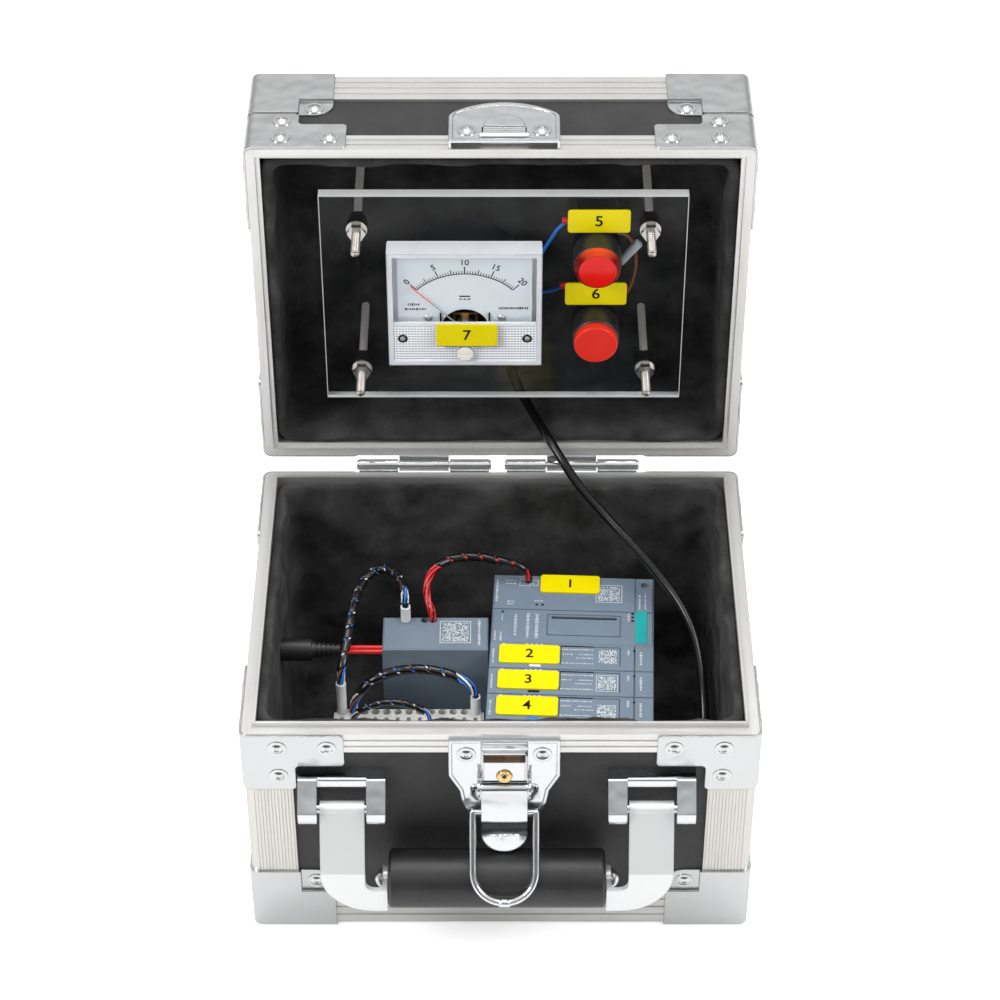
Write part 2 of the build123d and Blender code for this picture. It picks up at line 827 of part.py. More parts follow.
def latch_lever():
    """Curved lever with a rounded tongue. Its cheeks carry the ends of the bail."""
    x0 = latch_x - lever_width / 2
    x1 = latch_x + lever_width / 2
    bore = lever_pin_radius + hinge_bore_clearance
    roll = bore + lever_roll_wall
    tip = (grip_y + lever_tip_back, grip_z + lever_tip_rise)
    outer = [(lever_y - roll, lever_z)] + [(bail_y - out, bail_z + up) for out, up in lever_belly] + [tip]
    front = [(x0, y, z) for y, z in outer]
    back = [(x0, y + lever_sheet, z) for y, z in reversed(outer)]
    edges = Spline(*front) + Line(front[-1], back[0]) + Spline(*back) + Line(back[-1], front[0])
    lever = extrude(make_face(edges), lever_width, dir=(1, 0, 0))
    tongue_middle = tip[1] + lever_width
    window = Plane(origin=(latch_x, 0, tongue_middle), x_dir=(1, 0, 0), z_dir=(0, -1, 0))
    window = extrude(window * RectangleRounded(lever_width, 2 * lever_width, lever_tongue_radius), case_depth)
    lever = (lever & window) + (lever & block(-case_width, case_width, -case_depth, 0, bail_z, rim_height))
    cheek = [(y + lever_sheet / 2, z) for y, z in outer[:4]]
    cheek += [(bail_y + cheek_back, bail_z - cheek_drop), (lever_y + cheek_root, lever_z)]
    for x in (x0, x1 - lever_sheet):
        lever += prism([(x, y, z) for y, z in cheek], (1, 0, 0), lever_sheet)
    lever += bar((x0, lever_y, lever_z), (x1, lever_y, lever_z), roll)
    lever -= bar((x0 - 1, lever_y, lever_z), (x1 + 1, lever_y, lever_z), bore)
    hole = bail_pin_radius + bail_bore_clearance
    return lever - bar((x0 - 1, bail_y, bail_z), (x1 + 1, bail_y, bail_z), hole)


def bail_angle():
    """How far the bail leans out from straight down, resting on the handle grip."""
    out = bail_y - grip_y
    down = bail_z - grip_z
    reach = grip_radius + bail_wire / 2 + bail_grip_clearance
    distance = hypot(out, down)
    return degrees(atan2(out, down)) + degrees(atan2(reach, (distance**2 - reach**2) ** 0.5))


def latch_bail():
    """Wire loop on the lever, leaning on the grip."""
    place = Pos(latch_x, bail_y, bail_z) * Rot(-bail_angle(), 0, 0)
    w = bail_half_width
    inner = lever_width / 2 - lever_sheet
    end = -bail_reach + bail_wire / 2
    path = FilletPolyline((-w, 0, 0), (-w, 0, end), (w, 0, end), (w, 0, 0), radius=bail_bend)
    wire = sweep(Plane(origin=(-w, 0, 0), z_dir=(0, 0, -1)) * Circle(bail_wire / 2), path=path)
    for side in (-1, 1):
        wire += Pos(side * w, 0, 0) * Sphere(bail_wire / 2)
        wire += bar((side * w, 0, 0), (side * inner, 0, 0), bail_pin_radius)
    return place * wire


def pivot_pins():
    """The lever's pin and the two pins of the handle brackets."""
    ear = lever_width / 2 + ear_clearance + ear_sheet
    pins = [bar((latch_x - ear, lever_y, lever_z), (latch_x + ear, lever_y, lever_z), lever_pin_radius)]
    for side in (-1, 1):
        middle = handle_x + side * bracket_spacing / 2
        start = (middle - bracket_width / 2, handle_pivot_y, handle_pivot_z)
        end = (middle + bracket_width / 2, handle_pivot_y, handle_pivot_z)
        pins.append(bar(start, end, handle_pin_radius))
    return pins


def keeper():
    """Arched keeper on the front of the lid, with a hook for the bail, in the closed case."""
    z0 = rim_height + parting_gap + keeper_rise
    half = keeper_width / 2
    side = z0 + keeper_side
    top = z0 + keeper_length
    y1 = front_rail_y
    y0 = y1 - keeper_height

    def arch(inset, low):
        """The keeper's outline, smaller by an inset, with its lower edge at a given height."""
        reach = half - inset
        edges = Polyline((reach, side), (reach, low), (-reach, low), (-reach, side))
        edges += ThreePointArc((-reach, side), (0, top - inset), (reach, side))
        face = make_face(edges)
        shoulders = [vertex for vertex in face.vertices() if vertex.Y > side - 1]
        return fillet(shoulders, keeper_corner - inset)

    front = Plane(origin=(latch_x, y1, 0), x_dir=(1, 0, 0), z_dir=(0, -1, 0))
    body = extrude(front * arch(0, z0), keeper_height)
    flange_top = rim_height + parting_gap + rim_flange
    foot = extrude(front * arch(0, z0), -rail_sheet)
    body += foot & block(-case_width, case_width, -case_depth, 0, flange_top, top + 1)
    body -= extrude(front * arch(keeper_sheet, z0 - 1), keeper_height - keeper_sheet)
    body -= extrude(front * arch(keeper_foot_wall, z0 - 1), -rail_sheet)
    window_low = z0 + keeper_window_rise
    window_top = window_low + keeper_window_length
    field = arch(keeper_field_inset, z0 + keeper_field_inset)
    field -= Pos(0, window_top) * Circle(keeper_disc_radius)
    body -= extrude(front.offset(keeper_height - keeper_field_depth) * field, 1)
    w = keeper_window / 2
    body -= block(latch_x - w, latch_x + w, y0 - 1, y1, window_low, window_top)
    hook_z = z0 + hook_rise
    hook_y = y0 + hook_depth
    lip_y = hook_y - hook_radius
    lip_x = w - hook_side_gap
    body += bar((latch_x - w - 1, hook_y, hook_z), (latch_x + w + 1, hook_y, hook_z), hook_radius)
    lip = block(latch_x - lip_x, latch_x + lip_x, lip_y, lip_y + lip_sheet, hook_z, hook_z + lip_height)
    for share in (1 / 3, 2 / 3):
        z = hook_z + lip_height * share
        lip -= block(-case_width, case_width, lip_y - 1, lip_y + lip_groove_depth, z, z + lip_groove)
    return body + lip


def keeper_rivets():
    """The two rivet heads of the keeper, in the closed case."""
    z = rim_height + parting_gap + keeper_rise + keeper_rivet_rise
    y = front_rail_y - keeper_height + keeper_field_depth
    return [
        face_place(latch_x + side * keeper_rivet_spread, y, z, (0, -1, 0)) * rivet_head
        for side in (-1, 1)
    ]


# Handle on the front of the base
handle_pivot_y = front_rail_y - corner_sheet - bracket_pivot_out
handle_pivot_z = rim_height - bracket_pivot_drop


def handle_brackets():
    """Two brackets: a crossbar and two rounded ears that hold a pin."""
    brackets = []
    top = rim_height - bracket_top_drop
    y, z = handle_pivot_y, handle_pivot_z
    front = front_panel_y - crossbar_depth
    low = z - bracket_ear_radius
    outline = [(front_panel_y, top), (front, top), (y - bracket_ear_radius, z + bracket_nose_rise)]
    outline += [(y, z), (y, low), (front_panel_y, low)]
    for side in (-1, 1):
        middle = handle_x + side * bracket_spacing / 2
        x0 = middle - bracket_width / 2
        x1 = middle + bracket_width / 2
        shape = block(x0, x1, front, front_panel_y, top - crossbar_height, top)
        shape = fillet(shape.edges().filter_by(Axis.X).group_by(Axis.Y)[0], bracket_edge)
        for e0, e1 in ((x0, x0 + ear_width), (x1 - ear_width, x1)):
            ear = prism([(e0, *point) for point in outline], (1, 0, 0), e1 - e0)
            upper = ear.edges().filter_by(Axis.X).group_by(Axis.Z)[-1]
            ear = fillet(upper.sort_by(Axis.Y)[0], bracket_edge)
            roll = bar((e0, y, z), (e1, y, z), bracket_ear_radius)
            shape += ear + fillet(roll.edges().filter_by(GeomType.CIRCLE), bracket_side_edge)
        brackets.append(shape - bar((x0 - 1, y, z), (x1 + 1, y, z), handle_pin_radius))
    return brackets


def handle_arm():
    """The left arm: a roll on the pin, a slanted strap, and a flange that carries the grip."""
    middle = handle_x - bracket_spacing / 2
    x0 = middle - bracket_width / 2 + ear_width + arm_clearance
    x1 = middle + bracket_width / 2 - ear_width - arm_clearance
    x2 = handle_x - grip_length / 2 - seat_gap
    strap_y = grip_y - arm_end_half
    bend_z = handle_pivot_z - arm_bend_drop
    low_z = grip_z - arm_end_half
    top_z = handle_pivot_z
    roll_y = handle_pivot_y - arm_roll_radius
    root_z = top_z + arm_root_rise
    side = [(roll_y, root_z), (strap_y - arm_sheet, bend_z), (strap_y - arm_sheet, low_z)]
    side += [(strap_y, low_z), (strap_y, bend_z + arm_fold_step), (roll_y + arm_sheet, root_z)]
    sheet = prism([(x0, y, z) for y, z in side], (1, 0, 0), x2 - x0)
    window_z = grip_z + arm_window_rise
    outline = [(x0, root_z), (x1, root_z), (x1, window_z), (x2, window_z), (x2, low_z), (x0, low_z)]
    face = make_face(Polyline(*outline, close=True))
    outer = [vertex for vertex in face.vertices() if vertex.X < x0 + 0.1 and vertex.Y < low_z + 0.1]
    face = fillet(outer, arm_corner_radius)
    inner = [
        vertex for vertex in face.vertices()
        if abs(vertex.X - x1) < 0.1 and abs(vertex.Y - window_z) < 0.1
    ]
    face = fillet(inner, arm_inner_radius)
    front = Plane(origin=(0, 0, 0), x_dir=(1, 0, 0), z_dir=(0, -1, 0))
    arm = sheet & extrude(front * face, case_depth)
    arm += bar((x0, handle_pivot_y, handle_pivot_z), (x1, handle_pivot_y, handle_pivot_z), arm_roll_radius)
    arm += block(x2 - arm_sheet, x2, strap_y - arm_sheet, grip_y, low_z, window_z)
    arm += bar((x2 - arm_sheet, grip_y, grip_z), (x2, grip_y, grip_z), arm_boss_radius)
    bore = handle_pin_radius + handle_bore_clearance
    arm -= bar((x0 - 1, handle_pivot_y, handle_pivot_z), (x1 + 1, handle_pivot_y, handle_pivot_z), bore)
    arm -= bar((x2 - arm_sheet - 1, grip_y, grip_z), (x2 + 1, grip_y, grip_z), handle_bolt_radius)
    return arm


def handle_grip():
    """Round grip tube with softened ends."""
    half = grip_length / 2
    reach = half + 1
    tube = bar((handle_x - half, grip_y, grip_z), (handle_x + half, grip_y, grip_z), grip_radius)
    tube = chamfer(tube.edges().filter_by(GeomType.CIRCLE), grip_edge)
    bore = bar((handle_x - reach, grip_y, grip_z), (handle_x + reach, grip_y, grip_z), grip_bore_radius)
    return tube - bore


def handle_bolt():
    """Bolt through the grip, with a domed nut outside each arm."""
    reach = grip_length / 2 + seat_gap + arm_sheet
    bolt = bar((handle_x - reach, grip_y, grip_z), (handle_x + reach, grip_y, grip_z), handle_bolt_radius)
    for side in (-1, 1):
        place = face_place(handle_x + side * reach, grip_y, grip_z, (side, 0, 0))
        bolt += dome(place, handle_nut_radius, handle_nut_length)
    return bolt


# Rack in the base
def din_rail(length):
    """Top-hat rail along Y, standing on z = 0."""
    half = din_width / 2
    web = half - din_flange
    points = [(-half, din_height), (-half, din_height - din_sheet), (-web, din_height - din_sheet), (-web, 0)]
    points += [(web, 0), (web, din_height - din_sheet), (half, din_height - din_sheet), (half, din_height)]
    points += [(web - din_sheet, din_height), (web - din_sheet, din_sheet), (-web + din_sheet, din_sheet)]
    points += [(-web + din_sheet, din_height)]
    return prism([(x, -length / 2, z) for x, z in points], (0, 1, 0), length)


def mounting_rails():
    """The rack's rail along the case and the short rail under the terminal blocks."""
    rack_rail = rack_place * Pos(0, 0, lining_floor) * din_rail(rack_rail_length)
    strip_length = block_count * block_pitch + 2 * end_plate_width
    middle_x = strip_left + block_count * block_pitch / 2
    middle_y = block_back - block_length / 2
    strip_rail = Pos(middle_x, middle_y, lining_floor) * Rot(0, 0, 90) * din_rail(strip_length)
    return [rack_rail, strip_rail]


rack_floor = lining_floor + din_height
half_module = module_length / 2


def head_module():
    """Head module with a seam, a raised cover field, a finger slot and a round recess."""
    back = head_front + head_width
    top = rack_top
    body = block(-half_module, half_module, head_front + module_gap, back, rack_floor, top)
    body = chamfer(body.edges().group_by(Axis.Z)[-1], module_chamfer)
    seam_y = head_front + head_seam
    divider_x = half_module - divider_inset
    cuts = block(-half_module, half_module, seam_y, seam_y + seam_width, top - seam_depth, top + 1)
    cuts += block(divider_x, divider_x + seam_width, seam_y, back, top - seam_depth, top + 1)
    y0 = head_front + field_front
    y1 = head_front + field_back
    frame = block(field_left, field_right, y0, y1, top - seam_depth, top + 1)
    frame -= block(
        field_left + seam_width, field_right - seam_width, y0 + seam_width, y1 - seam_width,
        top - 2 * seam_depth, top + 2,
    )
    cuts += frame
    slot_y = y1 - finger_slot_drop
    cuts += block(
        field_left + finger_slot_inset, field_right - finger_slot_inset,
        slot_y - finger_slot_width, slot_y, top - finger_slot_depth, top + 1,
    )
    recess = (half_module - recess_inset_x, back - recess_inset_y)
    cuts += bar((*recess, top - recess_depth), (*recess, top + 1), recess_radius)
    return rack_place * (body - cuts)


def io_module(number):
    """One input or output module, with seams across its face and a row of small windows."""
    back = head_front - number * module_pitch
    front = back - module_pitch + module_gap
    top = rack_top
    low = rack_floor + base_unit_height
    body = block(-half_module, half_module, front, back, low, top)
    body = chamfer(body.edges().group_by(Axis.Z)[-1], module_chamfer / 2)
    divider_x = half_module - divider_inset
    cuts = block(divider_x, divider_x + seam_width, front, back, top - seam_depth, top + 1)
    window_back = back - lamp_window_inset
    for step in range(lamp_window_count):
        x = lamp_window_x + lamp_window_pitch * step
        cuts += block(
            x, x + lamp_window_length, window_back - lamp_window_width, window_back,
            top - seam_depth, top + 1,
        )
    return rack_place * (body - cuts)


def base_units():
    """Carriers under the three modules, and the slim end module."""
    units = []
    for number in range(3):
        back = head_front - number * module_pitch
        front = back - module_pitch + module_gap
        units.append(block(-half_module, half_module, front, back, rack_floor, rack_floor + base_unit_height))
    front = head_front - 3 * module_pitch
    end_top = rack_top - end_module_drop
    end = block(-half_module, half_module, front - end_module_width, front, rack_floor, end_top)
    units.append(chamfer(end.edges().group_by(Axis.Z)[-1], module_chamfer))
    return [rack_place * unit for unit in units]


def power_supply():
    """Slim power supply standing beside the rack, with wire holes along the back of its top."""
    body = block(supply_left, supply_right, supply_front, supply_back, lining_floor, supply_top)
    body = chamfer(body.edges().group_by(Axis.Z)[-1], module_chamfer)
    low = supply_top - wire_hole_depth
    for x in supply_holes:
        body -= bar((x, supply_hole_y, low), (x, supply_hole_y, supply_top + 1), wire_hole_radius)
    hole = inlet_wire / 2 + supply_wire_clearance
    for side in (-1, 1):
        y = inlet_y + side * inlet_wire_spacing / 2
        body -= bar((supply_left - 1, y, inlet_z), (supply_left + supply_wire_depth, y, inlet_z), hole)
    return body


supply_hole_y = supply_back - supply_hole_inset
supply_holes = [-42.0, -33.6, -30.0]
block_front = block_back - block_length
hole_y_back = block_back - wire_hole_inset
hole_y_front = block_front + wire_hole_inset


def terminal_block(x0, x1, front, back, top):
    """One slice of the strip: chamfered at its top, notched for its rail at its foot."""
    foot = lining_floor + din_height
    middle_y = (block_back + block_front) / 2
    slice_ = block(x0, x1, front, back, foot - block_hook, top)
    slice_ = chamfer(slice_.edges().filter_by(Axis.X).group_by(Axis.Z)[-1], block_chamfer)
    return slice_ - block(
        -case_width, case_width, middle_y - block_slot / 2, middle_y + block_slot / 2, 0, foot
    )


def terminal_strip():
    """Feed-through terminal blocks on their rail, between two end plates."""
    shapes = []
    half = release_slot / 2
    narrow = half * release_narrow
    low = block_top - wire_hole_depth
    for number in range(block_count):
        x0 = strip_left + number * block_pitch
        x = x0 + block_pitch / 2
        shape = terminal_block(x0, x0 + block_pitch, block_front, block_back, block_top)
        for hole_y, inward in ((hole_y_back, -1), (hole_y_front, 1)):
            shape -= bar((x, hole_y, low), (x, hole_y, block_top + 1), wire_hole_radius)
            slot_y = hole_y + inward * release_gap
            shape -= block(
                x - narrow, x + narrow, slot_y - half, slot_y + half,
                block_top - wire_hole_depth / 2, block_top + 1,
            )
        shapes.append(shape)
    right = strip_left + block_count * block_pitch
    for x0, x1 in ((strip_left - end_plate_width, strip_left), (right, right + end_plate_width)):
        shapes.append(terminal_block(
            x0, x1, block_front + end_plate_step, block_back - end_plate_step, block_top - end_plate_step
        ))
    return shapes


def dc_inlet():
    """Power inlet through the left wall, with a ribbed strain relief inside."""
    out = -panel_out_x - inlet_flange
    spot = (inlet_y, inlet_z)
    body = bar((out, *spot), (inlet_inner_end, *spot), inlet_radius)
    body += bar((out, *spot), (-panel_out_x, *spot), inlet_flange_radius)
    body -= bar((out - 1, *spot), (out + inlet_bore_depth, *spot), inlet_bore_radius)
    body += bar((out + 1, *spot), (out + inlet_bore_depth + 1, *spot), inlet_pin_radius)
    start = Plane(origin=(inlet_inner_end, *spot), z_dir=(1, 0, 0))
    body += loft([start * Circle(relief_big), start.offset(relief_length) * Circle(relief_small)])
    for number in range(relief_ribs):
        share = (number + 0.9) / (relief_ribs + 1)
        x = inlet_inner_end + relief_length * share
        radius = relief_big + (relief_small - relief_big) * share - relief_groove_depth
        ring = bar((x, *spot), (x + relief_groove, *spot), 2 * relief_big)
        body -= ring - bar((x - 1, *spot), (x + 2, *spot), radius)
    return body


def inlet_wires():
    """Two short wires from the strain relief into the power supply."""
    wires = []
    for side in (-1, 1):
        y = inlet_y + side * inlet_wire_spacing / 2
        wires.append(bar((relief_end, y, inlet_z), (supply_left + 1.5, y, inlet_z), inlet_wire / 2))
    return wires


# Wiring in the base: routes by hand, from the photographed curves
loom_diameter = 4.0
thin_loom_diameter = 3.0
red_loom_diameter = 3.6
cable_diameter = 4.2
left_sleeve_length = 17.4
back_sleeve_length = 8.0
right_sleeve_length = 9.2
low_loom_y = -21.0
first_block_x = strip_left + block_pitch / 2
second_block_x = first_block_x + block_pitch
low_block_x = strip_left + 8.5 * block_pitch
last_block_x = strip_left + (block_count - 0.5) * block_pitch
sleeve_foot = block_top + seat_gap
left_sleeve_top = sleeve_foot + left_sleeve_length
right_sleeve_top = sleeve_foot + right_sleeve_length
back_sleeve_foot = supply_top + seat_gap
back_sleeve_top = back_sleeve_foot + back_sleeve_length
head_wire_x = 12.6
head_wire_y = 45.4

left_loom_route = [
    (first_block_x, hole_y_back, left_sleeve_top),
    (first_block_x, hole_y_back, 82.5),
    (-68.0, -4.5, 88.4),
    (-66.4, 9.7, 92.0),
    (-64.4, 23.6, 94.4),
    (-61.0, 35.0, 95.4),
    (-54.6, 41.6, 96.4),
    (-47.4, 36.4, 98.6),
    (-43.6, 27.4, 101.0),
    (supply_holes[0], supply_hole_y, 99.4),
    (supply_holes[0], supply_hole_y, back_sleeve_top),
]
red_loom_route = [
    (supply_holes[2], supply_hole_y, supply_top + seat_gap),
    (supply_holes[2], supply_hole_y, 89.6),
    (-32.6, 25.0, 92.6),
    (-33.0, 32.4, 95.4),
    (-29.6, 41.0, 97.0),
    (-22.0, 46.6, 97.4),
    (-11.0, 48.6, 97.0),
    (-1.0, 47.2, 95.4),
    (8.0, 46.2, 93.6),
    (head_wire_x, head_wire_y, 89.6),
    (head_wire_x, head_wire_y, rack_top + seat_gap),
]
front_loom_route = [
    (second_block_x, hole_y_back, sleeve_foot),
    (second_block_x, hole_y_back, 65.4),
    (-61.4, -11.6, 71.0),
    (-56.0, -8.4, 75.4),
    (-47.0, -7.0, 79.0),
    (-36.8, -7.2, 80.8),
    (-27.4, -8.4, 80.6),
    (-18.6, -10.6, 79.0),
    (last_block_x, hole_y_back, 75.0),
    (last_block_x, hole_y_back, right_sleeve_top),
]
low_loom_route = [
    (second_block_x, low_loom_y, sleeve_foot),
    (second_block_x, low_loom_y, 64.6),
    (-60.0, -20.0, 69.0),
    (-52.6, -19.0, 71.6),
    (-44.6, -19.2, 72.2),
    (-37.0, -20.2, 70.2),
    (low_block_x, low_loom_y, 66.0),
    (low_block_x, low_loom_y, sleeve_foot),
]
cable_route = [
    (2.0, 123.0, 165.0),
    (3.4, 121.0, 152.0),
    (8.4, 113.0, 141.4),
    (14.4, 102.0, 137.0),
    (20.2, 89.6, 134.6),
    (26.8, 78.6, 129.6),
    (34.0, 70.0, 122.0),
    (44.6, 60.0, 114.6),
    (56.6, 47.6, 107.6),
    (68.8, 35.6, 99.8),
    (79.2, 23.6, 92.8),
    (85.4, 11.0, 86.6),
    (88.0, -2.0, 80.8),
    (88.8, -14.5, 74.4),
    (89.2, -26.0, 66.0),
    (88.8, -34.0, 54.5),
    (86.6, -37.6, 42.0),
    (80.0, -38.4, 31.6),
    (69.0, -38.0, 28.0),
]


def marker_sleeve(x, y, foot, length):
    """White marker sleeve with a bare wire end going down into a terminal."""
    sleeve = bar((x, y, foot), (x, y, foot + length), sleeve_radius)
    return sleeve + bar((x, y, foot - sleeve_tail), (x, y, foot), sleeve_tail_radius)


def wire_sleeves():
    """The marker sleeves at the ends of the looms."""
    return [
        marker_sleeve(first_block_x, hole_y_back, sleeve_foot, left_sleeve_length),
        marker_sleeve(last_block_x, hole_y_back, sleeve_foot, right_sleeve_length),
        marker_sleeve(supply_holes[0], supply_hole_y, back_sleeve_foot, back_sleeve_length),
    ]


def tag(place):
    """A thin rectangular tag with rounded corners, standing on a face."""
    return place * extrude(RectangleRounded(tag_length, tag_width, tag_radius), tag_thickness)


def rack_tags():
    """One tag on the head module and one on each module."""
    x = -half_module + tag_length / 2 + tag_inset
    y = head_front + tag_middle_step
    places = [(head_tag_x, head_front + head_width - head_tag_inset)]
    places += [(x, y - (number + 0.5) * module_pitch) for number in range(3)]
    return [rack_place * tag(Pos(x, y, rack_top)) for x, y in places]


# Instrument panel: local x to the right, y up, z out of the front face
def rod_spots():
    return [(sx * rod_spacing_x / 2, sy * rod_spacing_y / 2) for sx in (-1, 1) for sy in (-1, 1)]


def on_panel(shape):
    return panel_place * shape


cap_room = cap_length - cap_proud + cap_travel + cap_bottom_gap


def clear_panel():
    """Clear sheet with holes for rods, meter, lamp and button."""
    sheet = block(-panel_width / 2, panel_width / 2, -panel_height / 2, panel_height / 2, -panel_thickness, 0)
    tall = 4 * panel_thickness
    for x, y in rod_spots():
        sheet -= Pos(x, y, 0) * Cylinder(rod_hole_radius, tall)
    sheet -= Pos(meter_x, meter_y, 0) * Cylinder(meter_can_radius + meter_hole_clearance, tall)
    for y in (lamp_y, button_y):
        sheet -= Pos(lamp_x, y, 0) * Cylinder(barrel_radius + barrel_clearance, tall)
    return on_panel(sheet)


rod_back = -(lid_inside_y - clear_front_y)


def panel_rods():
    """Rods from the lid's board to well past the panel, with a full thread beyond the front nuts."""
    stud_low = washer_thickness + nut_height + rod_stud_gap
    rods = []
    for x, y in rod_spots():
        shank = bar((x, y, rod_back), (x, y, stud_low), rod_shank_radius)
        rods.append(on_panel(shank + bar((x, y, stud_low), (x, y, rod_proud), rod_radius)))
    return rods


def hex_nut(z0):
    """Hexagon nut on the rod's axis."""
    shape = Pos(0, 0, z0) * extrude(RegularPolygon(nut_across / 2, 6, major_radius=False), nut_height)
    return shape - Pos(0, 0, z0 + nut_height / 2) * Cylinder(rod_shank_radius + nut_clearance, 2 * nut_height)


def washer(z0):
    """Flat washer on the rod's axis."""
    middle = Pos(0, 0, z0 + washer_thickness / 2)
    hole = Cylinder(rod_shank_radius + nut_clearance, 2 * washer_thickness)
    return middle * (Cylinder(washer_radius, washer_thickness) - hole)


def panel_nuts():
    """Nuts and washers on both sides of the panel, and the ring nuts of lamp and button."""
    front = 0
    back = -panel_thickness
    stack = [washer(front), hex_nut(front + washer_thickness)]
    stack += [washer(back - washer_thickness), hex_nut(back - washer_thickness - nut_height)]
    shapes = [on_panel(Pos(x, y, 0) * piece) for x, y in rod_spots() for piece in stack]
    for y in (lamp_y, button_y):
        ring = Pos(lamp_x, y, back - ring_nut_height / 2) * Cylinder(ring_nut_radius, ring_nut_height)
        ring -= Pos(lamp_x, y, back) * Cylinder(barrel_radius + nut_clearance, 4 * ring_nut_height)
        shapes.append(on_panel(ring))
    return shapes


def meter_location():
    return panel_place * Pos(meter_x, meter_y, 0)


def meter_body():
    """Flange on the panel, round can through it and two terminal studs at the back."""
    half_w = meter_width / 2
    half_h = meter_height / 2
    body = block(-half_w, half_w, -half_h, half_h, 0, meter_flange)
    back = -meter_can_depth
    body += Pos(0, 0, back / 2) * Cylinder(meter_can_radius, meter_can_depth)
    body -= Pos(0, needle_pivot_y, meter_flange) * Cylinder(window_radius, 2 * movement_depth)
    for side in (-1, 1):
        body += bar((side * stud_spread, 0, back - stud_length), (side * stud_spread, 0, back), stud_radius)
    return meter_location() * body


def meter_cover():
    """Clear cover: side walls, a front window and a deeper band across the lower third."""
    half_w = meter_width / 2
    half_h = meter_height / 2
    cover = block(-half_w, half_w, -half_h, half_h, meter_flange, meter_depth)
    cover = chamfer(cover.edges().group_by(Axis.Z)[-1], meter_edge)
    inner = block(
        -half_w + meter_wall, half_w - meter_wall, -half_h + meter_wall, half_h - meter_wall,
        0, meter_depth - meter_wall,
    )
    cover -= inner
    cover -= Pos(0, zero_y, meter_depth) * Cylinder(zero_radius + zero_clearance, 4 * meter_wall)
    return meter_location() * cover


def meter_dial():
    """Dial plate on two posts, with a half-round window over the movement."""
    top = meter_height / 2 - meter_wall - dial_top_gap
    low = top - dial_height
    plate = block(-dial_width / 2, dial_width / 2, low, top, dial_level, dial_level + dial_thickness)
    plate -= Pos(0, needle_pivot_y, dial_level) * Cylinder(window_radius, 4 * dial_thickness)
    for x in (-dial_post_spread, dial_post_spread):
        y = low + dial_post_rise
        plate += bar((x, y, meter_flange), (x, y, dial_level), dial_post_radius)
    return meter_location() * plate


def meter_movement():
    """Coil frame and its core on a round base, sunk into the can."""
    y = needle_pivot_y
    low = meter_flange - movement_depth
    top = low + movement_floor
    half_w = coil_width / 2
    half_h = coil_height / 2
    base = Pos(0, y, low + movement_floor / 2) * Cylinder(window_radius - movement_gap, movement_floor)
    core = Pos(0, y, top + core_depth / 2) * Cylinder(core_radius, core_depth)
    frame = block(-half_w, half_w, y - half_h, y + half_h, top, top + coil_depth)
    frame -= block(
        -half_w + coil_wall, half_w - coil_wall, y - half_h + coil_wall, y + half_h - coil_wall,
        low, top + 2 * coil_depth,
    )
    return meter_location() * (base + core + frame)


def meter_needle():
    """Thin pointer with its hub, resting on zero at the left end of the scale."""
    z = dial_level + dial_thickness + needle_gap
    hub = bar((0, 0, meter_flange - needle_hub_depth), (0, 0, z + needle_thickness), needle_hub_radius)
    wide = needle_width / 2
    narrow = needle_point / 2
    outline = [(-wide, -needle_tail, z), (wide, -needle_tail, z)]
    outline += [(narrow, needle_length, z), (-narrow, needle_length, z)]
    pointer = prism(outline, (0, 0, 1), needle_thickness)
    return meter_location() * Pos(0, needle_pivot_y, 0) * Rot(0, 0, needle_rest_angle) * (hub + pointer)


def zero_screw():
    """Slotted white screw in the cover for setting the needle to zero."""
    low = meter_depth - meter_wall
    top = meter_depth + zero_proud
    half = zero_slot / 2
    screw = Pos(0, zero_y, (low + top) / 2) * Cylinder(zero_radius, top - low)
    screw -= block(-zero_radius, zero_radius, zero_y - half, zero_y + half, meter_depth, top + 1)
    return meter_location() * screw


def switch_body(y, hollow):
    """Collar in front of the panel, threaded barrel through it and contact block behind."""
    collar = Pos(lamp_x, y, collar_depth / 2) * Cylinder(head_radius, collar_depth)
    body = chamfer(collar.edges().group_by(Axis.Z)[-1], cap_edge)
    body += Pos(lamp_x, y, -barrel_length / 2) * Cylinder(barrel_radius, barrel_length)
    half = contact_size / 2
    back = -barrel_length - contact_length
    body += block(lamp_x - half, lamp_x + half, y - half, y + half, back, -barrel_length)
    if hollow:
        front = Pos(lamp_x, y, collar_depth)
        body -= front * Cylinder(cap_radius + cap_clearance, 2 * cap_room)
        body -= front * Cylinder(spring_radius + spring_side_gap, 2 * (cap_room + spring_room))
    return on_panel(body)


def lamp_lens():
    """Stepped red lens on the lamp's collar."""
    radius = head_radius - lens_step
    lens = Pos(lamp_x, lamp_y, collar_depth + lens_depth / 2) * Cylinder(radius, lens_depth)
    return on_panel(chamfer(lens.edges().group_by(Axis.Z)[-1], radius - lens_face_radius))


def button_cap():
    """Red push cap with its stem."""
    top = collar_depth + cap_proud
    stem_top = top - cap_length
    cap = Pos(lamp_x, button_y, top - cap_length / 2) * Cylinder(cap_radius, cap_length)
    cap = chamfer(cap.edges().group_by(Axis.Z)[-1], cap_edge)
    cap += Pos(lamp_x, button_y, stem_top - cap_stem_length / 2) * Cylinder(cap_stem_radius, cap_stem_length)
    return on_panel(cap)


def button_spring():
    """Return spring round the stem, between the cap and the body."""
    top = collar_depth + cap_proud - cap_length - spring_end_gap
    bottom = collar_depth - cap_room - spring_room + spring_end_gap
    room = top - bottom - spring_wire
    path = Helix(pitch=room / spring_turns, height=room, radius=spring_radius - spring_wire / 2)
    section = Plane(origin=path @ 0, z_dir=path % 0) * Circle(spring_wire / 2)
    wire = sweep(section, path=path, is_frenet=True)
    return on_panel(Pos(lamp_x, button_y, bottom + spring_wire / 2) * wire)


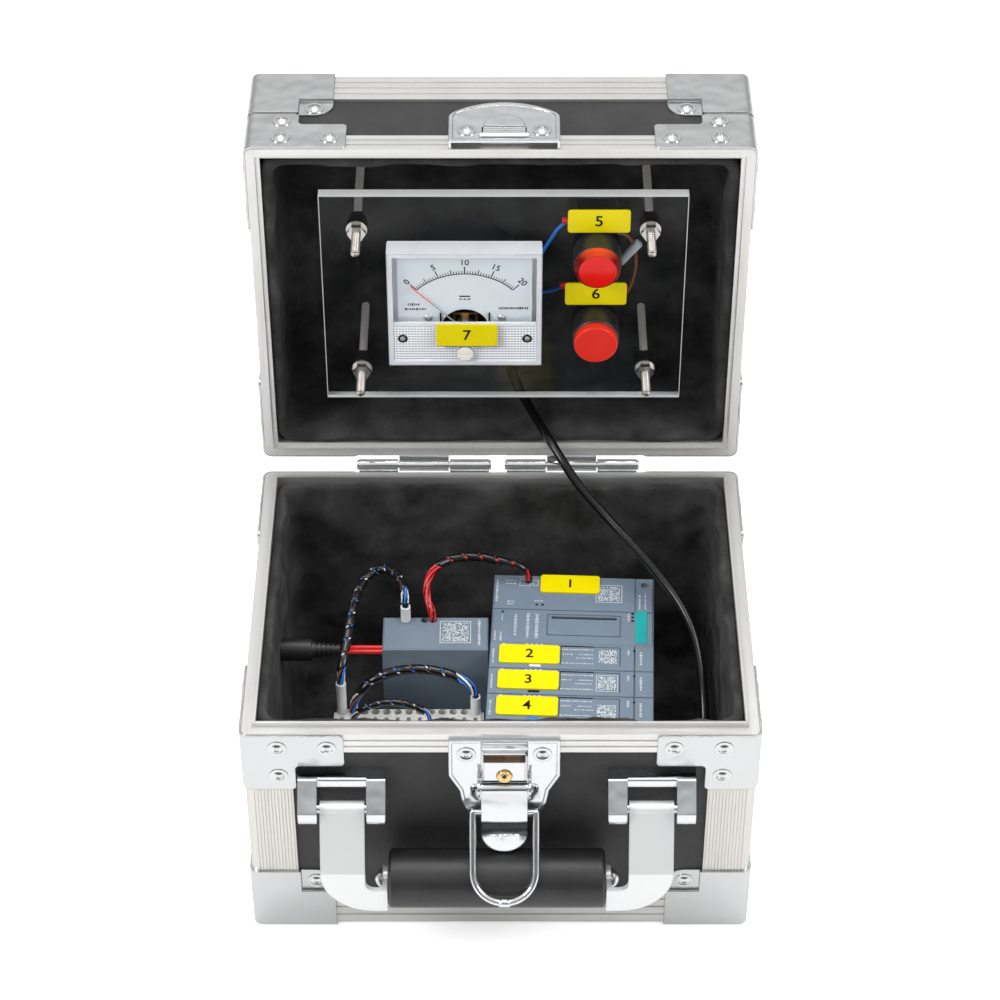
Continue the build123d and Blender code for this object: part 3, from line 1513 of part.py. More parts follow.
def lid_tags():
    """Tags above the lamp and above the button, and one on the meter's cover."""
    above_lamp = tag(Pos(lamp_x + lamp_tag_x, lamp_y + lamp_tag_rise, 0))
    above_button = tag(Pos(lamp_x, button_y + button_tag_rise, 0))
    on_meter = tag(Pos(meter_x + meter_tag_x, meter_y + meter_tag_y, meter_depth))
    return [on_panel(shape) for shape in (above_lamp, above_button, on_meter)]


# Thin wires behind the clear panel: routes by hand, in the panel's plane
wire_diameter = 1.6
stud_back = -meter_can_depth - stud_length
stud_side = meter_x + stud_spread + stud_radius + seat_gap + wire_diameter / 2
left_stud_side = meter_x - stud_spread + stud_radius + seat_gap + wire_diameter / 2
contact_left = lamp_x - contact_size / 2 - seat_gap
contact_right = lamp_x + contact_size / 2 + seat_gap
lamp_wire_y = 30.4
button_wire_y = -2.4
wire_routes = [
    [
        (stud_side, meter_y, stud_back + 4.0),
        (6.5, meter_y, stud_back + 4.0),
        (15.0, 6.0, -22.0),
        (19.0, 17.0, -18.0),
        (25.6, lamp_wire_y, -17.0),
        (contact_left, lamp_wire_y, -17.0),
    ],
    [
        (left_stud_side, meter_y, stud_back + 2.0),
        (-20.0, meter_y, stud_back + 2.0),
        (-4.0, -4.0, stud_back + 0.5),
        (12.0, -7.4, -26.0),
        (24.0, button_wire_y - 3.4, -20.0),
        (contact_left - 3.0, button_wire_y - 6.0, -18.0),
        (contact_left, button_wire_y - 6.0, -18.0),
    ],
    [
        (contact_right, lamp_y - 2.0, -18.0),
        (53.4, lamp_y - 2.0, -18.0),
        (57.6, 14.0, -19.0),
        (58.0, 2.0, -19.0),
        (54.0, button_y + 2.0, -18.0),
        (contact_right, button_y + 2.0, -18.0),
    ],
]


def panel_wires():
    """Thin wires between the meter, the lamp and the button."""
    wires = []
    for number, route in enumerate(wire_routes):
        wires.append(on_panel(cord_tube(f"panel wire {number + 1}", route, wire_diameter)))
    return wires


# Build every node
os.makedirs("parts", exist_ok=True)

walls = wall_panels(rim_height, base_web)
inlet_hole = bar(
    (-half_x, inlet_y, inlet_z), (-panel_in_x + 2 * lining_thickness, inlet_y, inlet_z),
    inlet_radius + inlet_hole_clearance,
)
base_walls = [base_place * walls[side] for side in ("front", "back", "right", "left")]
save("base_wall_panels", [wall - inlet_hole for wall in base_walls])
save("base_bottom_panel", [base_place * end_panel(rim_height)])
base_rails = rim_rails(base_web, tongue_thickness, tongue_height) + end_rails(rim_height, bottom_rail_leg)
save("base_rails", [base_place * rail for rail in base_rails])
save("base_corner_posts", [base_place * post for post in corner_posts(rim_height, bottom_rail_leg)])
save("base_corner_plates", [base_place * plate for plate in corner_plates(base_plate_drop)])
caps = corner_caps(rim_height, bottom_rail_leg, base_cap_height)
save("base_corner_caps", [base_place * cap for cap in caps])
rivets = [base_place * head for head in corner_rivets(rim_height, bottom_rail_leg, base_lower_rivet)]
save("base_rivets", rivets + latch_rivets() + hinge_rivets(-1))
save("base_lining", [base_place * lining(rim_height, base_lining_edge) - inlet_hole])

lid_walls = wall_panels(lid_height, lid_web)
save("lid_wall_panels", [lid_place * wall for wall in lid_walls.values()])
save("lid_top_panel", [lid_place * end_panel(lid_height)])
lid_rails = rim_rails(lid_web, tongue_thickness + rebate_clearance, -rebate_depth)
lid_rails += end_rails(lid_height, top_rail_leg)
save("lid_rails", [lid_place * rail for rail in lid_rails])
save("lid_corner_posts", [lid_place * post for post in corner_posts(lid_height, top_rail_leg)])
save("lid_corner_plates", [lid_place * plate for plate in corner_plates(lid_plate_drop)])
caps = corner_caps(lid_height, top_rail_leg, lid_cap_height)
save("lid_corner_caps", [lid_place * cap for cap in caps])
rivets = [lid_place * head for head in corner_rivets(lid_height, top_rail_leg, lid_lower_rivet)]
rivets += [lid_swing * head for head in keeper_rivets() + hinge_rivets(1)]
save("lid_rivets", rivets)
foam = lid_place * lining(lid_height, lid_lining_edge)
for x, y in rod_spots():
    foam -= on_panel(bar((x, y, rod_back - 1), (x, y, 0), rod_hole_radius))
save("lid_lining", [foam])
save("lid_keeper", [lid_swing * keeper()])

on_base, on_lid, pins = hinge_leaves()
save("hinge_base_leaves", on_base)
save("hinge_lid_leaves", on_lid)
save("hinge_pins", pins)

save("latch_plate", [latch_plate()])
save("lock_core", [lock_core()])
save("latch_lever", [latch_lever()])
save("latch_bail", [latch_bail()])
save("pivot_pins", pivot_pins())
save("handle_brackets", handle_brackets())
left_arm = handle_arm()
right_arm = mirror(left_arm, about=Plane(origin=(handle_x, 0, 0), z_dir=(1, 0, 0)))
save("handle_arms", [left_arm, right_arm])
save("handle_grip", [handle_grip()])
save("handle_bolt", [handle_bolt()])

save("mounting_rails", mounting_rails())
save("head_module", [head_module()])
for number in range(3):
    save(f"io_module_{number + 1}", [io_module(number)])
save("rack_base_units", base_units())
save("power_supply", [power_supply()])
save("terminal_strip", terminal_strip())
save("dc_inlet", [dc_inlet()])
save("inlet_wires", inlet_wires())
save("wire_sleeves", wire_sleeves())
save("left_loom", [cord_tube("left loom", left_loom_route, loom_diameter)])
save("red_loom", [cord_tube("red loom", red_loom_route, red_loom_diameter)])
front_looms = [cord_tube("front loom", front_loom_route, loom_diameter)]
front_looms.append(cord_tube("low loom", low_loom_route, thin_loom_diameter))
save("front_looms", front_looms)
save("panel_cable", [cord_tube("panel cable", cable_route, cable_diameter)])
save("rack_tags", rack_tags())

save("clear_panel", [clear_panel()])
save("panel_rods", panel_rods())
save("panel_nuts", panel_nuts())
save("meter_body", [meter_body()])
save("meter_cover", [meter_cover()])
save("meter_dial", [meter_dial()])
save("meter_movement", [meter_movement()])
save("meter_needle", [meter_needle()])
save("zero_screw", [zero_screw()])
save("switch_bodies", [switch_body(lamp_y, False), switch_body(button_y, True)])
save("lamp_lens", [lamp_lens()])
save("button_cap", [button_cap()])
save("button_spring", [button_spring()])
save("lid_tags", lid_tags())
save("panel_wires", panel_wires())
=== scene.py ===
# %% [markdown]
# # A communication trainer in an aluminium-edged case
# The real object is a small carry case. Its base holds a rack of control modules, a power supply
# and terminal blocks. Its lid holds a clear panel with a meter, a lamp and a push button.
# The shapes come from a CAD model that is loaded as a fixed frame. This lesson adds what the eye
# looks for: finishes, foam, wiring, printed marks and small hardware.

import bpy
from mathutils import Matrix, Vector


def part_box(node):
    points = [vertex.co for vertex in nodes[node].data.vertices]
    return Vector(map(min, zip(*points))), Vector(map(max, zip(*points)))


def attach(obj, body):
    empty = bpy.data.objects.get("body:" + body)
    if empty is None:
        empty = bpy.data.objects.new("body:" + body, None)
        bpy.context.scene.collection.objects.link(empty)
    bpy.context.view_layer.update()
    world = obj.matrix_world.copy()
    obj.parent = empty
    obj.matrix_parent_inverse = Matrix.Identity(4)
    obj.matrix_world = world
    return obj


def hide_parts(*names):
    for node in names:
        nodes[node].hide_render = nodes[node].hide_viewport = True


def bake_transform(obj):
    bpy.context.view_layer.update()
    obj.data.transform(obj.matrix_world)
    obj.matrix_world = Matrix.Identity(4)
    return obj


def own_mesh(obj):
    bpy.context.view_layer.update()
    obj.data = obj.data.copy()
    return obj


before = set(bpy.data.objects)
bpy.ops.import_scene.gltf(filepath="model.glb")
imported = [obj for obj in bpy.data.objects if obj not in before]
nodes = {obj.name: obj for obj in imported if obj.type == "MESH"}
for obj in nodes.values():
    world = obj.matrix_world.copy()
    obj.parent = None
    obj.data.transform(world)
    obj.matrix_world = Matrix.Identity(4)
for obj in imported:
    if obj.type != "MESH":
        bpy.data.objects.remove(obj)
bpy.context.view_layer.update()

# %% [markdown]
# ## One way to place things
# The CAD model measures in millimetres from the middle of the base. Blender works in metres, and
# the frame's origin lies a little behind that middle. A matrix for each part of the object (the
# base, the slightly turned rack, the upright panel) lets every piece be made in plain
# millimetres, where the real piece is easy to picture.

# %% Matrices from millimetres to the frame
import random
from math import cos, pi, radians, sin

import bmesh
import bpy
from mathutils import Euler, Matrix, Vector, noise

mm = 0.001
origin_behind = 15.0
rack_turn = radians(-2.4)
rack_x = 31.3
at_base = Matrix.Translation((0, -origin_behind * mm, 0)) @ Matrix.Scale(mm, 4)
at_rack = at_base @ Matrix.Translation((rack_x, 0, 0)) @ Matrix.Rotation(rack_turn, 4, "Z")
panel_low, panel_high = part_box("clear_panel")
panel_middle = (panel_low + panel_high) / 2
panel_front = Vector((panel_middle.x, panel_low.y, panel_middle.z))
at_panel = Matrix.Translation(panel_front) @ Matrix.Rotation(pi / 2, 4, "X") @ Matrix.Scale(mm, 4)
meter_low, meter_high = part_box("meter_cover")
meter_middle = (meter_low + meter_high) / 2
meter_spot = Vector((meter_middle.x, panel_low.y, meter_middle.z))
at_meter = Matrix.Translation(meter_spot) @ Matrix.Rotation(pi / 2, 4, "X") @ Matrix.Scale(mm, 4)
print("panel front", [round(v, 4) for v in panel_front])

# %% [markdown]
# ## Camera
# The photograph looks down on the open case at about 41 degrees with a long lens, so the sides
# stay nearly parallel. The distance and the lens were solved from the edges of the case.

# %% The photograph's camera
camera_distance = 1.2827
camera_down = radians(40.89)
look_at = Vector((-0.0002, 0.0487, 0.117))
camera_data = bpy.data.cameras.new("photo_camera")
camera_data.lens = 103.0
camera_data.sensor_width = 36.0
camera = bpy.data.objects.new("photo_camera", camera_data)
bpy.context.collection.objects.link(camera)
camera.location = look_at + camera_distance * Vector((0, -cos(camera_down), sin(camera_down)))
camera.rotation_euler = Euler((pi / 2 - camera_down, 0, 0))
bpy.context.scene.camera = camera
print("camera at", [round(v, 4) for v in camera.location])

# %% [markdown]
# ## Tools for making pieces
# Most pieces below are meshes made from points in millimetres. One small function turns points
# and faces into an object, places it, gives it its finish and ties it to the body it moves with.

# %% A mesh piece from points and faces
sharp_angle = radians(60)


def piece(name, points, faces, place, finish, body, smooth=True):
    """One mesh object: points in millimetres, placed by a matrix, riding on a CAD body."""
    mesh = bpy.data.meshes.new(name)
    mesh.from_pydata([place @ Vector(point) for point in points], [], faces)
    mesh.materials.append(finish)
    for polygon in mesh.polygons:
        polygon.use_smooth = smooth
    mesh.validate()
    if smooth:
        mesh.set_sharp_from_angle(angle=sharp_angle)
    thing = bpy.data.objects.new(name, mesh)
    bpy.context.collection.objects.link(thing)
    if body:
        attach(thing, body)
    print(name, len(mesh.polygons), "faces")
    return thing


# %% Turned pieces, rings and flat marks
def skin_faces(rows, around):
    """Faces between rows of points that each go once round, with a cap on the first and last row."""
    faces = []
    for row in range(rows - 1):
        low, high = row * around, (row + 1) * around
        for step in range(around):
            after = (step + 1) % around
            faces.append((low + step, low + after, high + after, high + step))
    faces.append(tuple(reversed(range(around))))
    faces.append(tuple(range((rows - 1) * around, rows * around)))
    return faces


def turned(name, profile, place, finish, body, around=32):
    """A piece turned on a lathe, from (radius, height) pairs along local z."""
    points = []
    for radius, height in profile:
        for step in range(around):
            angle = 2 * pi * step / around
            points.append((radius * cos(angle), radius * sin(angle), height))
    return piece(name, points, skin_faces(len(profile), around), place, finish, body)


def rectangle(x0, x1, y0, y1):
    return [(x0, y0), (x1, y0), (x1, y1), (x0, y1)]


def ring_piece(name, inner, outer, low, high, place, finish, body):
    """A flat frame between two outlines with the same number of points."""
    count = len(inner)
    points = [(x, y, z) for z in (low, high) for outline in (inner, outer) for x, y in outline]
    faces = []
    for here in range(count):
        after = (here + 1) % count
        faces.append((count + here, count + after, 3 * count + after, 3 * count + here))
        faces.append((after, here, 2 * count + here, 2 * count + after))
        faces.append((2 * count + here, 3 * count + here, 3 * count + after, 2 * count + after))
        faces.append((here, after, count + after, count + here))
    return piece(name, points, faces, place, finish, body, smooth=False)


def prints(name, outlines, place, level, thickness, finish, body):
    """Printed marks: thin bodies on a face, one for each outline that goes round to the left."""
    points, faces = [], []
    for outline in outlines:
        first, count = len(points), len(outline)
        points += [(x, y, level) for x, y in outline]
        points += [(x, y, level + thickness) for x, y in outline]
        faces.append(tuple(first + here for here in reversed(range(count))))
        faces.append(tuple(first + count + here for here in range(count)))
        for here in range(count):
            after = (here + 1) % count
            faces.append((first + here, first + after, first + count + after, first + count + here))
    return piece(name, points, faces, place, finish, body, smooth=False)


# %% Strokes, frames and small print
def stroke(start, end, width):
    """A straight stroke of one width, as an outline."""
    start, end = Vector(start), Vector(end)
    way = (end - start).normalized()
    side = Vector((-way.y, way.x)) * width / 2
    return [start - side, end - side, end + side, start + side]


def frame_lines(x0, x1, y0, y1, width):
    """Four strokes round a rectangle."""
    return [
        rectangle(x0, x1, y0, y0 + width), rectangle(x0, x1, y1 - width, y1),
        rectangle(x0, x0 + width, y0 + width, y1 - width), rectangle(x1 - width, x1, y0 + width, y1 - width),
    ]


def block_marks(x0, x1, y0, y1, count, seed):
    """A square of small random blocks: the look of a printed square code, with nothing in it."""
    dice = random.Random(seed)
    across, up = (x1 - x0) / count, (y1 - y0) / count
    return [
        rectangle(x0 + across * column, x0 + across * (column + 1), y0 + up * row, y0 + up * (row + 1))
        for row in range(count) for column in range(count) if dice.random() < 0.5
    ]


def small_print(start, end, height, seed):
    """A line of print too small to read: strokes of uneven length and height."""
    dice = random.Random(seed)
    start, end = Vector(start), Vector(end)
    way, reach, along = (end - start).normalized(), (end - start).length, 0.0
    shortest, longest, widest_gap = 0.3, 0.8, 0.5
    strokes = []
    while along < reach - shortest:
        width = min(dice.uniform(shortest, longest), reach - along)
        first, last = start + along * way, start + (along + width) * way
        strokes.append(stroke(first, last, height * dice.uniform(0.5, 1.0)))
        along += width + dice.uniform(shortest, widest_gap)
    return strokes


# %% Plain numbers
capital_share = 0.72
number_thickness = 0.02
number_boldness = 0.02


def lettering(name, entries, place, finish, body):
    """Numbers as thin flat shapes. Each entry is text, x, y, level, height and turn in degrees."""
    joined = bmesh.new()
    for text, x, y, level, height, turn in entries:
        data = bpy.data.curves.new(name, "FONT")
        data.body = text
        data.size = height / capital_share
        data.align_x = "CENTER"
        data.align_y = "CENTER"
        data.extrude = number_thickness
        data.offset = number_boldness * height
        sign = bpy.data.objects.new(name, data)
        bpy.context.collection.objects.link(sign)
        bpy.context.view_layer.update()
        mesh = bpy.data.meshes.new_from_object(sign)
        mesh.transform(place @ Matrix.Translation((x, y, level)) @ Matrix.Rotation(radians(turn), 4, "Z"))
        joined.from_mesh(mesh)
        bpy.data.meshes.remove(mesh)
        bpy.data.objects.remove(sign)
    mesh = bpy.data.meshes.new(name)
    joined.to_mesh(mesh)
    joined.free()
    mesh.materials.clear()
    mesh.materials.append(finish)
    thing = bpy.data.objects.new(name, mesh)
    bpy.context.collection.objects.link(thing)
    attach(thing, body)
    print(name, len(mesh.polygons), "faces")


# %% [markdown]
# ## Patterns that several finishes share
# A shader node group is a small machine with named inputs and outputs. Here, one group gives a
# fine grain for boards, foam and moulded plastic, one gives the long streaks of drawn or brushed
# metal, one gives smudges that change the shine, and one finds the edges, for a rounded normal
# and a mask of painted edge shade. Each is built once, and every material feeds it its own values.

# %% Start a node group
def new_group(name, inputs, outputs):
    """A group with named inputs and outputs, and the two nodes that stand for them inside."""
    group = bpy.data.node_groups.new(name, "ShaderNodeTree")
    for label, kind, value in inputs:
        socket = group.interface.new_socket(label, in_out="INPUT", socket_type=kind)
        socket.default_value = value
    for label, kind in outputs:
        group.interface.new_socket(label, in_out="OUTPUT", socket_type=kind)
    return group, group.nodes.new("NodeGroupInput"), group.nodes.new("NodeGroupOutput")


def math_node(tree, operation, first, second=None):
    """A Math node with sockets or numbers as its inputs. Returns its output."""
    node = tree.nodes.new("ShaderNodeMath")
    node.operation = operation
    for socket, value in zip(node.inputs, (first, second)):
        if isinstance(value, bpy.types.NodeSocket):
            tree.links.new(value, socket)
        elif value is not None:
            socket.default_value = value
    return node.outputs["Value"]


def noise_node(tree, vector, scale, detail, roughness=0.6):
    """A Noise Texture node. Returns its node."""
    node = tree.nodes.new("ShaderNodeTexNoise")
    tree.links.new(vector, node.inputs["Vector"])
    if isinstance(scale, bpy.types.NodeSocket):
        tree.links.new(scale, node.inputs["Scale"])
    else:
        node.inputs["Scale"].default_value = scale
    node.inputs["Detail"].default_value = detail
    node.inputs["Roughness"].default_value = roughness
    return node


# %% Grain: fine bumps of boards, foam and moulded plastic
def make_grain():
    number = "NodeSocketFloat"
    group, start, end = new_group(
        "grain", [("Scale", number, 1500.0), ("Mottle Scale", number, 60.0)],
        [("Height", number), ("Mottle", number)],
    )
    place = group.nodes.new("ShaderNodeTexCoord").outputs["Object"]
    fine = noise_node(group, place, start.outputs["Scale"], 3.0)
    wide = noise_node(group, place, start.outputs["Mottle Scale"], 4.0)
    group.links.new(fine.outputs["Fac"], end.inputs["Height"])
    group.links.new(wide.outputs["Fac"], end.inputs["Mottle"])
    return group


grain = make_grain()

# %% Streaks: the lines of drawn, rolled or brushed metal
def make_streaks():
    number, vector = "NodeSocketFloat", "NodeSocketVector"
    group, start, end = new_group(
        "streaks", [("Stretch", vector, (1.0, 1.0, 1.0)), ("Scale", number, 900.0)],
        [("Height", number), ("Shade", number)],
    )
    place = group.nodes.new("ShaderNodeTexCoord").outputs["Object"]
    stretch = group.nodes.new("ShaderNodeVectorMath")
    stretch.operation = "MULTIPLY"
    group.links.new(place, stretch.inputs[0])
    group.links.new(start.outputs["Stretch"], stretch.inputs[1])
    drawn_out = stretch.outputs["Vector"]
    fine = noise_node(group, drawn_out, start.outputs["Scale"], 2.0)
    slow = noise_node(group, drawn_out, 160.0, 3.0)
    group.links.new(fine.outputs["Fac"], end.inputs["Height"])
    group.links.new(slow.outputs["Fac"], end.inputs["Shade"])
    return group


streaks = make_streaks()

# %% Smudges: slow changes in shine, with a few finer marks
def make_smudges():
    number = "NodeSocketFloat"
    group, start, end = new_group(
        "smudges", [("Scale", number, 45.0), ("Low", number, 0.1), ("High", number, 0.3)],
        [("Roughness", number), ("Ripple", number)],
    )
    place = group.nodes.new("ShaderNodeTexCoord").outputs["Object"]
    slow = noise_node(group, place, start.outputs["Scale"], 5.0)
    spread = math_node(group, "SUBTRACT", start.outputs["High"], start.outputs["Low"])
    share = math_node(group, "MULTIPLY", slow.outputs["Fac"], spread)
    group.links.new(math_node(group, "ADD", share, start.outputs["Low"]), end.inputs["Roughness"])
    ripple = noise_node(group, place, 90.0, 1.0)
    group.links.new(ripple.outputs["Fac"], end.inputs["Ripple"])
    return group


smudges = make_smudges()

# %% Edge rounding: a rounded normal, and a mask where the surface turns, used for painted edge shade
def make_edge_rounding_and_shade():
    number, vector = "NodeSocketFloat", "NodeSocketVector"
    group, start, end = new_group(
        "edge rounding and shade", [("Radius", number, 0.0005), ("Spread", number, 8.0)],
        [("Normal", vector), ("Edge", number)],
    )
    rounded = group.nodes.new("ShaderNodeBevel")
    rounded.samples = 4
    group.links.new(start.outputs["Radius"], rounded.inputs["Radius"])
    flat = group.nodes.new("ShaderNodeNewGeometry")
    likeness = group.nodes.new("ShaderNodeVectorMath")
    likeness.operation = "DOT_PRODUCT"
    group.links.new(rounded.outputs["Normal"], likeness.inputs[0])
    group.links.new(flat.outputs["Normal"], likeness.inputs[1])
    turn = math_node(group, "SUBTRACT", 1.0, likeness.outputs["Value"])
    edge = math_node(group, "MULTIPLY", turn, start.outputs["Spread"])
    group.links.new(math_node(group, "MINIMUM", edge, 1.0), end.inputs["Edge"])
    group.links.new(rounded.outputs["Normal"], end.inputs["Normal"])
    return group


edge_rounding_and_shade = make_edge_rounding_and_shade()
print("groups:", [group.name for group in bpy.data.node_groups])

# %% [markdown]
# ## Building a material
# Every finish starts as a Principled shader. The numbers that are the same all over the surface
# are set on the shader itself. What changes over the surface is linked in: a colour that
# wanders between two tones, a roughness from the smudges, and a bump from grain or streaks.

# %% A material with its shader
def new_finish(name, colour, metallic, roughness, **uniform):
    """A material with a Principled shader. Further names are sockets set to plain values."""
    finish = bpy.data.materials.new(name)
    finish.use_nodes = True
    shader = finish.node_tree.nodes["Principled BSDF"]
    shader.inputs["Base Color"].default_value = (*colour, 1)
    shader.inputs["Metallic"].default_value = metallic
    shader.inputs["Roughness"].default_value = roughness
    for label, value in uniform.items():
        shader.inputs[label.replace("_", " ")].default_value = value
    finish.diffuse_color = (*colour, 1)
    return finish, finish.node_tree, shader


def use_group(tree, group, **values):
    """Place a group in a material, with its own input values."""
    node = tree.nodes.new("ShaderNodeGroup")
    node.node_tree = group
    for label, value in values.items():
        node.inputs[label.replace("_", " ")].default_value = value
    return node


def object_axes(tree):
    """The place on the object in metres, as sockets named X, Y and Z."""
    place = tree.nodes.new("ShaderNodeTexCoord")
    axes = tree.nodes.new("ShaderNodeSeparateXYZ")
    tree.links.new(place.outputs["Object"], axes.inputs["Vector"])
    return axes.outputs


def two_tone(tree, shader, mask, first, second):
    """Base colour that wanders between two tones by a mask."""
    ramp = tree.nodes.new("ShaderNodeValToRGB")
    ramp.color_ramp.elements[0].position = 0.3
    ramp.color_ramp.elements[0].color = (*first, 1)
    ramp.color_ramp.elements[1].position = 0.7
    ramp.color_ramp.elements[1].color = (*second, 1)
    tree.links.new(mask, ramp.inputs["Fac"])
    tree.links.new(ramp.outputs["Color"], shader.inputs["Base Color"])


def bump(tree, shader, height, depth, normal=None):
    """Relief from a height between 0 and 1, with its real depth in metres."""
    node = tree.nodes.new("ShaderNodeBump")
    node.inputs["Strength"].default_value = 1.0
    node.inputs["Distance"].default_value = depth
    tree.links.new(height, node.inputs["Height"])
    if normal:
        tree.links.new(normal, node.inputs["Normal"])
    tree.links.new(node.outputs["Normal"], shader.inputs["Normal"])


def paint_edge_shade(tree, shader, mask, strength):
    """Darken the base colour where the surface turns: painted shade for the dark gaps and dark reflections
    along a sheet's cut edge.
    """
    darken = tree.nodes.new("ShaderNodeMix")
    darken.data_type = "RGBA"
    # painted shade: the dark grey that the edges are darkened towards
    darken.inputs["B"].default_value = (0.10, 0.10, 0.105, 1)
    base = shader.inputs["Base Color"]
    if base.is_linked:
        tree.links.new(base.links[0].from_socket, darken.inputs["A"])
    else:
        darken.inputs["A"].default_value = base.default_value
    tree.links.new(math_node(tree, "MULTIPLY", mask, strength), darken.inputs["Factor"])
    tree.links.new(darken.outputs["Result"], base)


# %% [markdown]
# ## Metals
# The rails are drawn aluminium: pale and slightly warm, with fine lines that run along each
# rail. A material can't know which way a rail runs, but the side rails all lie far out to the
# left and right, so one test on x chooses between two stretch directions. The corners, latch and
# handle are bright chromed steel, whose life comes from soft waves in the sheet.

# %% Drawn aluminium
side_rails_from = 0.1


def drawn_aluminium(name, front_run, side_run, warm, cool, line_depth, edge_shade):
    """Aluminium with fine lines along front rails and along side rails, and painted shade along its edges."""
    finish, tree, shader = new_finish(name, cool, 0.85, 0.36)
    front = use_group(tree, streaks, Stretch=front_run)
    side = use_group(tree, streaks, Stretch=side_run)
    out = math_node(tree, "ABSOLUTE", object_axes(tree)["X"])
    beside = math_node(tree, "GREATER_THAN", out, side_rails_from)
    height = tree.nodes.new("ShaderNodeMix")
    shade = tree.nodes.new("ShaderNodeMix")
    for mix, label in ((height, "Height"), (shade, "Shade")):
        tree.links.new(beside, mix.inputs["Factor"])
        tree.links.new(front.outputs[label], mix.inputs["A"])
        tree.links.new(side.outputs[label], mix.inputs["B"])
    two_tone(tree, shader, shade.outputs["Result"], warm, cool)
    rounding = use_group(tree, edge_rounding_and_shade, Radius=0.0003)
    bump(tree, shader, height.outputs["Result"], line_depth, rounding.outputs["Normal"])
    # painted shade along the rails' edges
    paint_edge_shade(tree, shader, rounding.outputs["Edge"], edge_shade)
    shine = use_group(tree, smudges, Scale=60.0, Low=0.22, High=0.44)
    tree.links.new(shine.outputs["Roughness"], shader.inputs["Roughness"])
    return finish


along, over = 0.03, 1.0
rail_finish = {}
for half, side_run in (("base", (over, along, over)), ("lid", (over, over, along))):
    rail_finish[half] = drawn_aluminium(
        f"drawn_aluminium_{half}", (along, over, over), side_run,
        (0.64, 0.63, 0.61), (0.76, 0.76, 0.75), 0.00005, 0.45,
    )
post_finish = {}
for half, run in (("base", (over, over, along)), ("lid", (over, along, over))):
    post_finish[half] = drawn_aluminium(
        f"ribbed_post_{half}", run, run, (0.62, 0.60, 0.565), (0.68, 0.665, 0.635), 0.000004, 0.05,
    )

# %% Chromed and polished metal
def bright_metal(name, colour, low, high, wave, radius=0.0006, dark=0.6, metallic=1.0):
    """Polished metal with waves in the sheet, smudges, soft edges and painted shade along the edges."""
    finish, tree, shader = new_finish(name, colour, metallic, low)
    shine = use_group(tree, smudges, Scale=70.0, Low=low, High=high)
    tree.links.new(shine.outputs["Roughness"], shader.inputs["Roughness"])
    rounding = use_group(tree, edge_rounding_and_shade, Radius=radius)
    bump(tree, shader, shine.outputs["Ripple"], wave, rounding.outputs["Normal"])
    # painted shade along the edges, as strong as dark asks
    paint_edge_shade(tree, shader, rounding.outputs["Edge"], dark)
    return finish


chrome = bright_metal("chrome", (0.70, 0.71, 0.725), 0.04, 0.14, 0.0005)
corner_steel = bright_metal("corner_steel", (0.61, 0.615, 0.62), 0.16, 0.32, 0.0008)
rivet_steel = bright_metal("rivet_steel", (0.66, 0.66, 0.665), 0.10, 0.22, 0.0001, 0.0003)
lock_brass = bright_metal("lock_brass", (0.80, 0.55, 0.24), 0.12, 0.30, 0.0001, 0.0003)
stainless = bright_metal("stainless", (0.66, 0.64, 0.61), 0.18, 0.32, 0.00005, 0.0002)
zinc_steel = bright_metal("zinc_steel", (0.60, 0.61, 0.62), 0.30, 0.50, 0.0002, 0.0003)
arm_steel = bright_metal("arm_steel", (0.76, 0.765, 0.77), 0.24, 0.34, 0.00006, 0.0006, 0.4, 0.4)


# %% Rod steel with painted light and shade, and the meter's housing, which both change at the panel's front
ring_pitch = 0.0014
# painted shade for the grooves of the thread
groove_shade_colour = (0.05, 0.045, 0.04, 1)
# painted light: the colour of the glow on steel behind the panel
painted_glow_colour = (1.0, 0.96, 0.92, 1)


def in_front(tree):
    """One in front of the clear panel, zero behind it."""
    return math_node(tree, "LESS_THAN", object_axes(tree)["Y"], panel_front.y)


def panel_steel_painted_lighting(name, front, back, metallic, glow, groove_shade_share=0.0):
    """Steel on the clear panel in a front tone and a back tone, with a painted glow behind the panel and
    painted shade in the rings of a thread where asked.
    """
    finish, tree, shader = new_finish(name, front, metallic, 0.24)
    turn = math_node(tree, "MULTIPLY", object_axes(tree)["Y"], 2 * pi / ring_pitch)
    wave = math_node(tree, "ADD", math_node(tree, "SINE", turn), 1.0)
    groove = math_node(tree, "MULTIPLY", wave, 0.5 * groove_shade_share)
    side = in_front(tree)
    two_tone(tree, shader, side, back, front)
    tones = shader.inputs["Base Color"].links[0].from_socket
    rings = tree.nodes.new("ShaderNodeMix")
    rings.data_type = "RGBA"
    tree.links.new(groove, rings.inputs["Factor"])
    tree.links.new(tones, rings.inputs["A"])
    rings.inputs["B"].default_value = groove_shade_colour
    tree.links.new(rings.outputs["Result"], shader.inputs["Base Color"])
    shader.inputs["Emission Color"].default_value = painted_glow_colour
    # painted light: the steel glows behind the panel, though it is no lamp
    light = math_node(tree, "MULTIPLY", math_node(tree, "SUBTRACT", 1.0, side), glow)
    tree.links.new(light, shader.inputs["Emission Strength"])
    return finish


# rods: paler behind the panel with a painted glow, which is painted light, and painted shade in the thread's
# grooves
rod_steel = panel_steel_painted_lighting("rod_steel", (0.50, 0.47, 0.44), (0.90, 0.87, 0.83), 0.9, 0.10, 0.5)
# nuts: pale in front and dark behind the panel, which is painted shade
nut_steel = panel_steel_painted_lighting("nut_steel", (0.66, 0.64, 0.61), (0.20, 0.195, 0.19), 1.0, 0.004)
meter_case, case_tree, case_shader = new_finish("meter_case", (0.01, 0.01, 0.01), 0.0, 0.4)
two_tone(case_tree, case_shader, in_front(case_tree), (0.012, 0.012, 0.013), (0.62, 0.64, 0.66))
print("metals ready")

# %% [markdown]
# ## Boards, plastics and foam
# The case boards are pressed fibre with a thin black film that has a fine pebble. The modules
# are matt blue-grey plastic. Foam drinks the light: it is nearly black, with a dusty bloom at
# grazing angles that the sheen value gives.

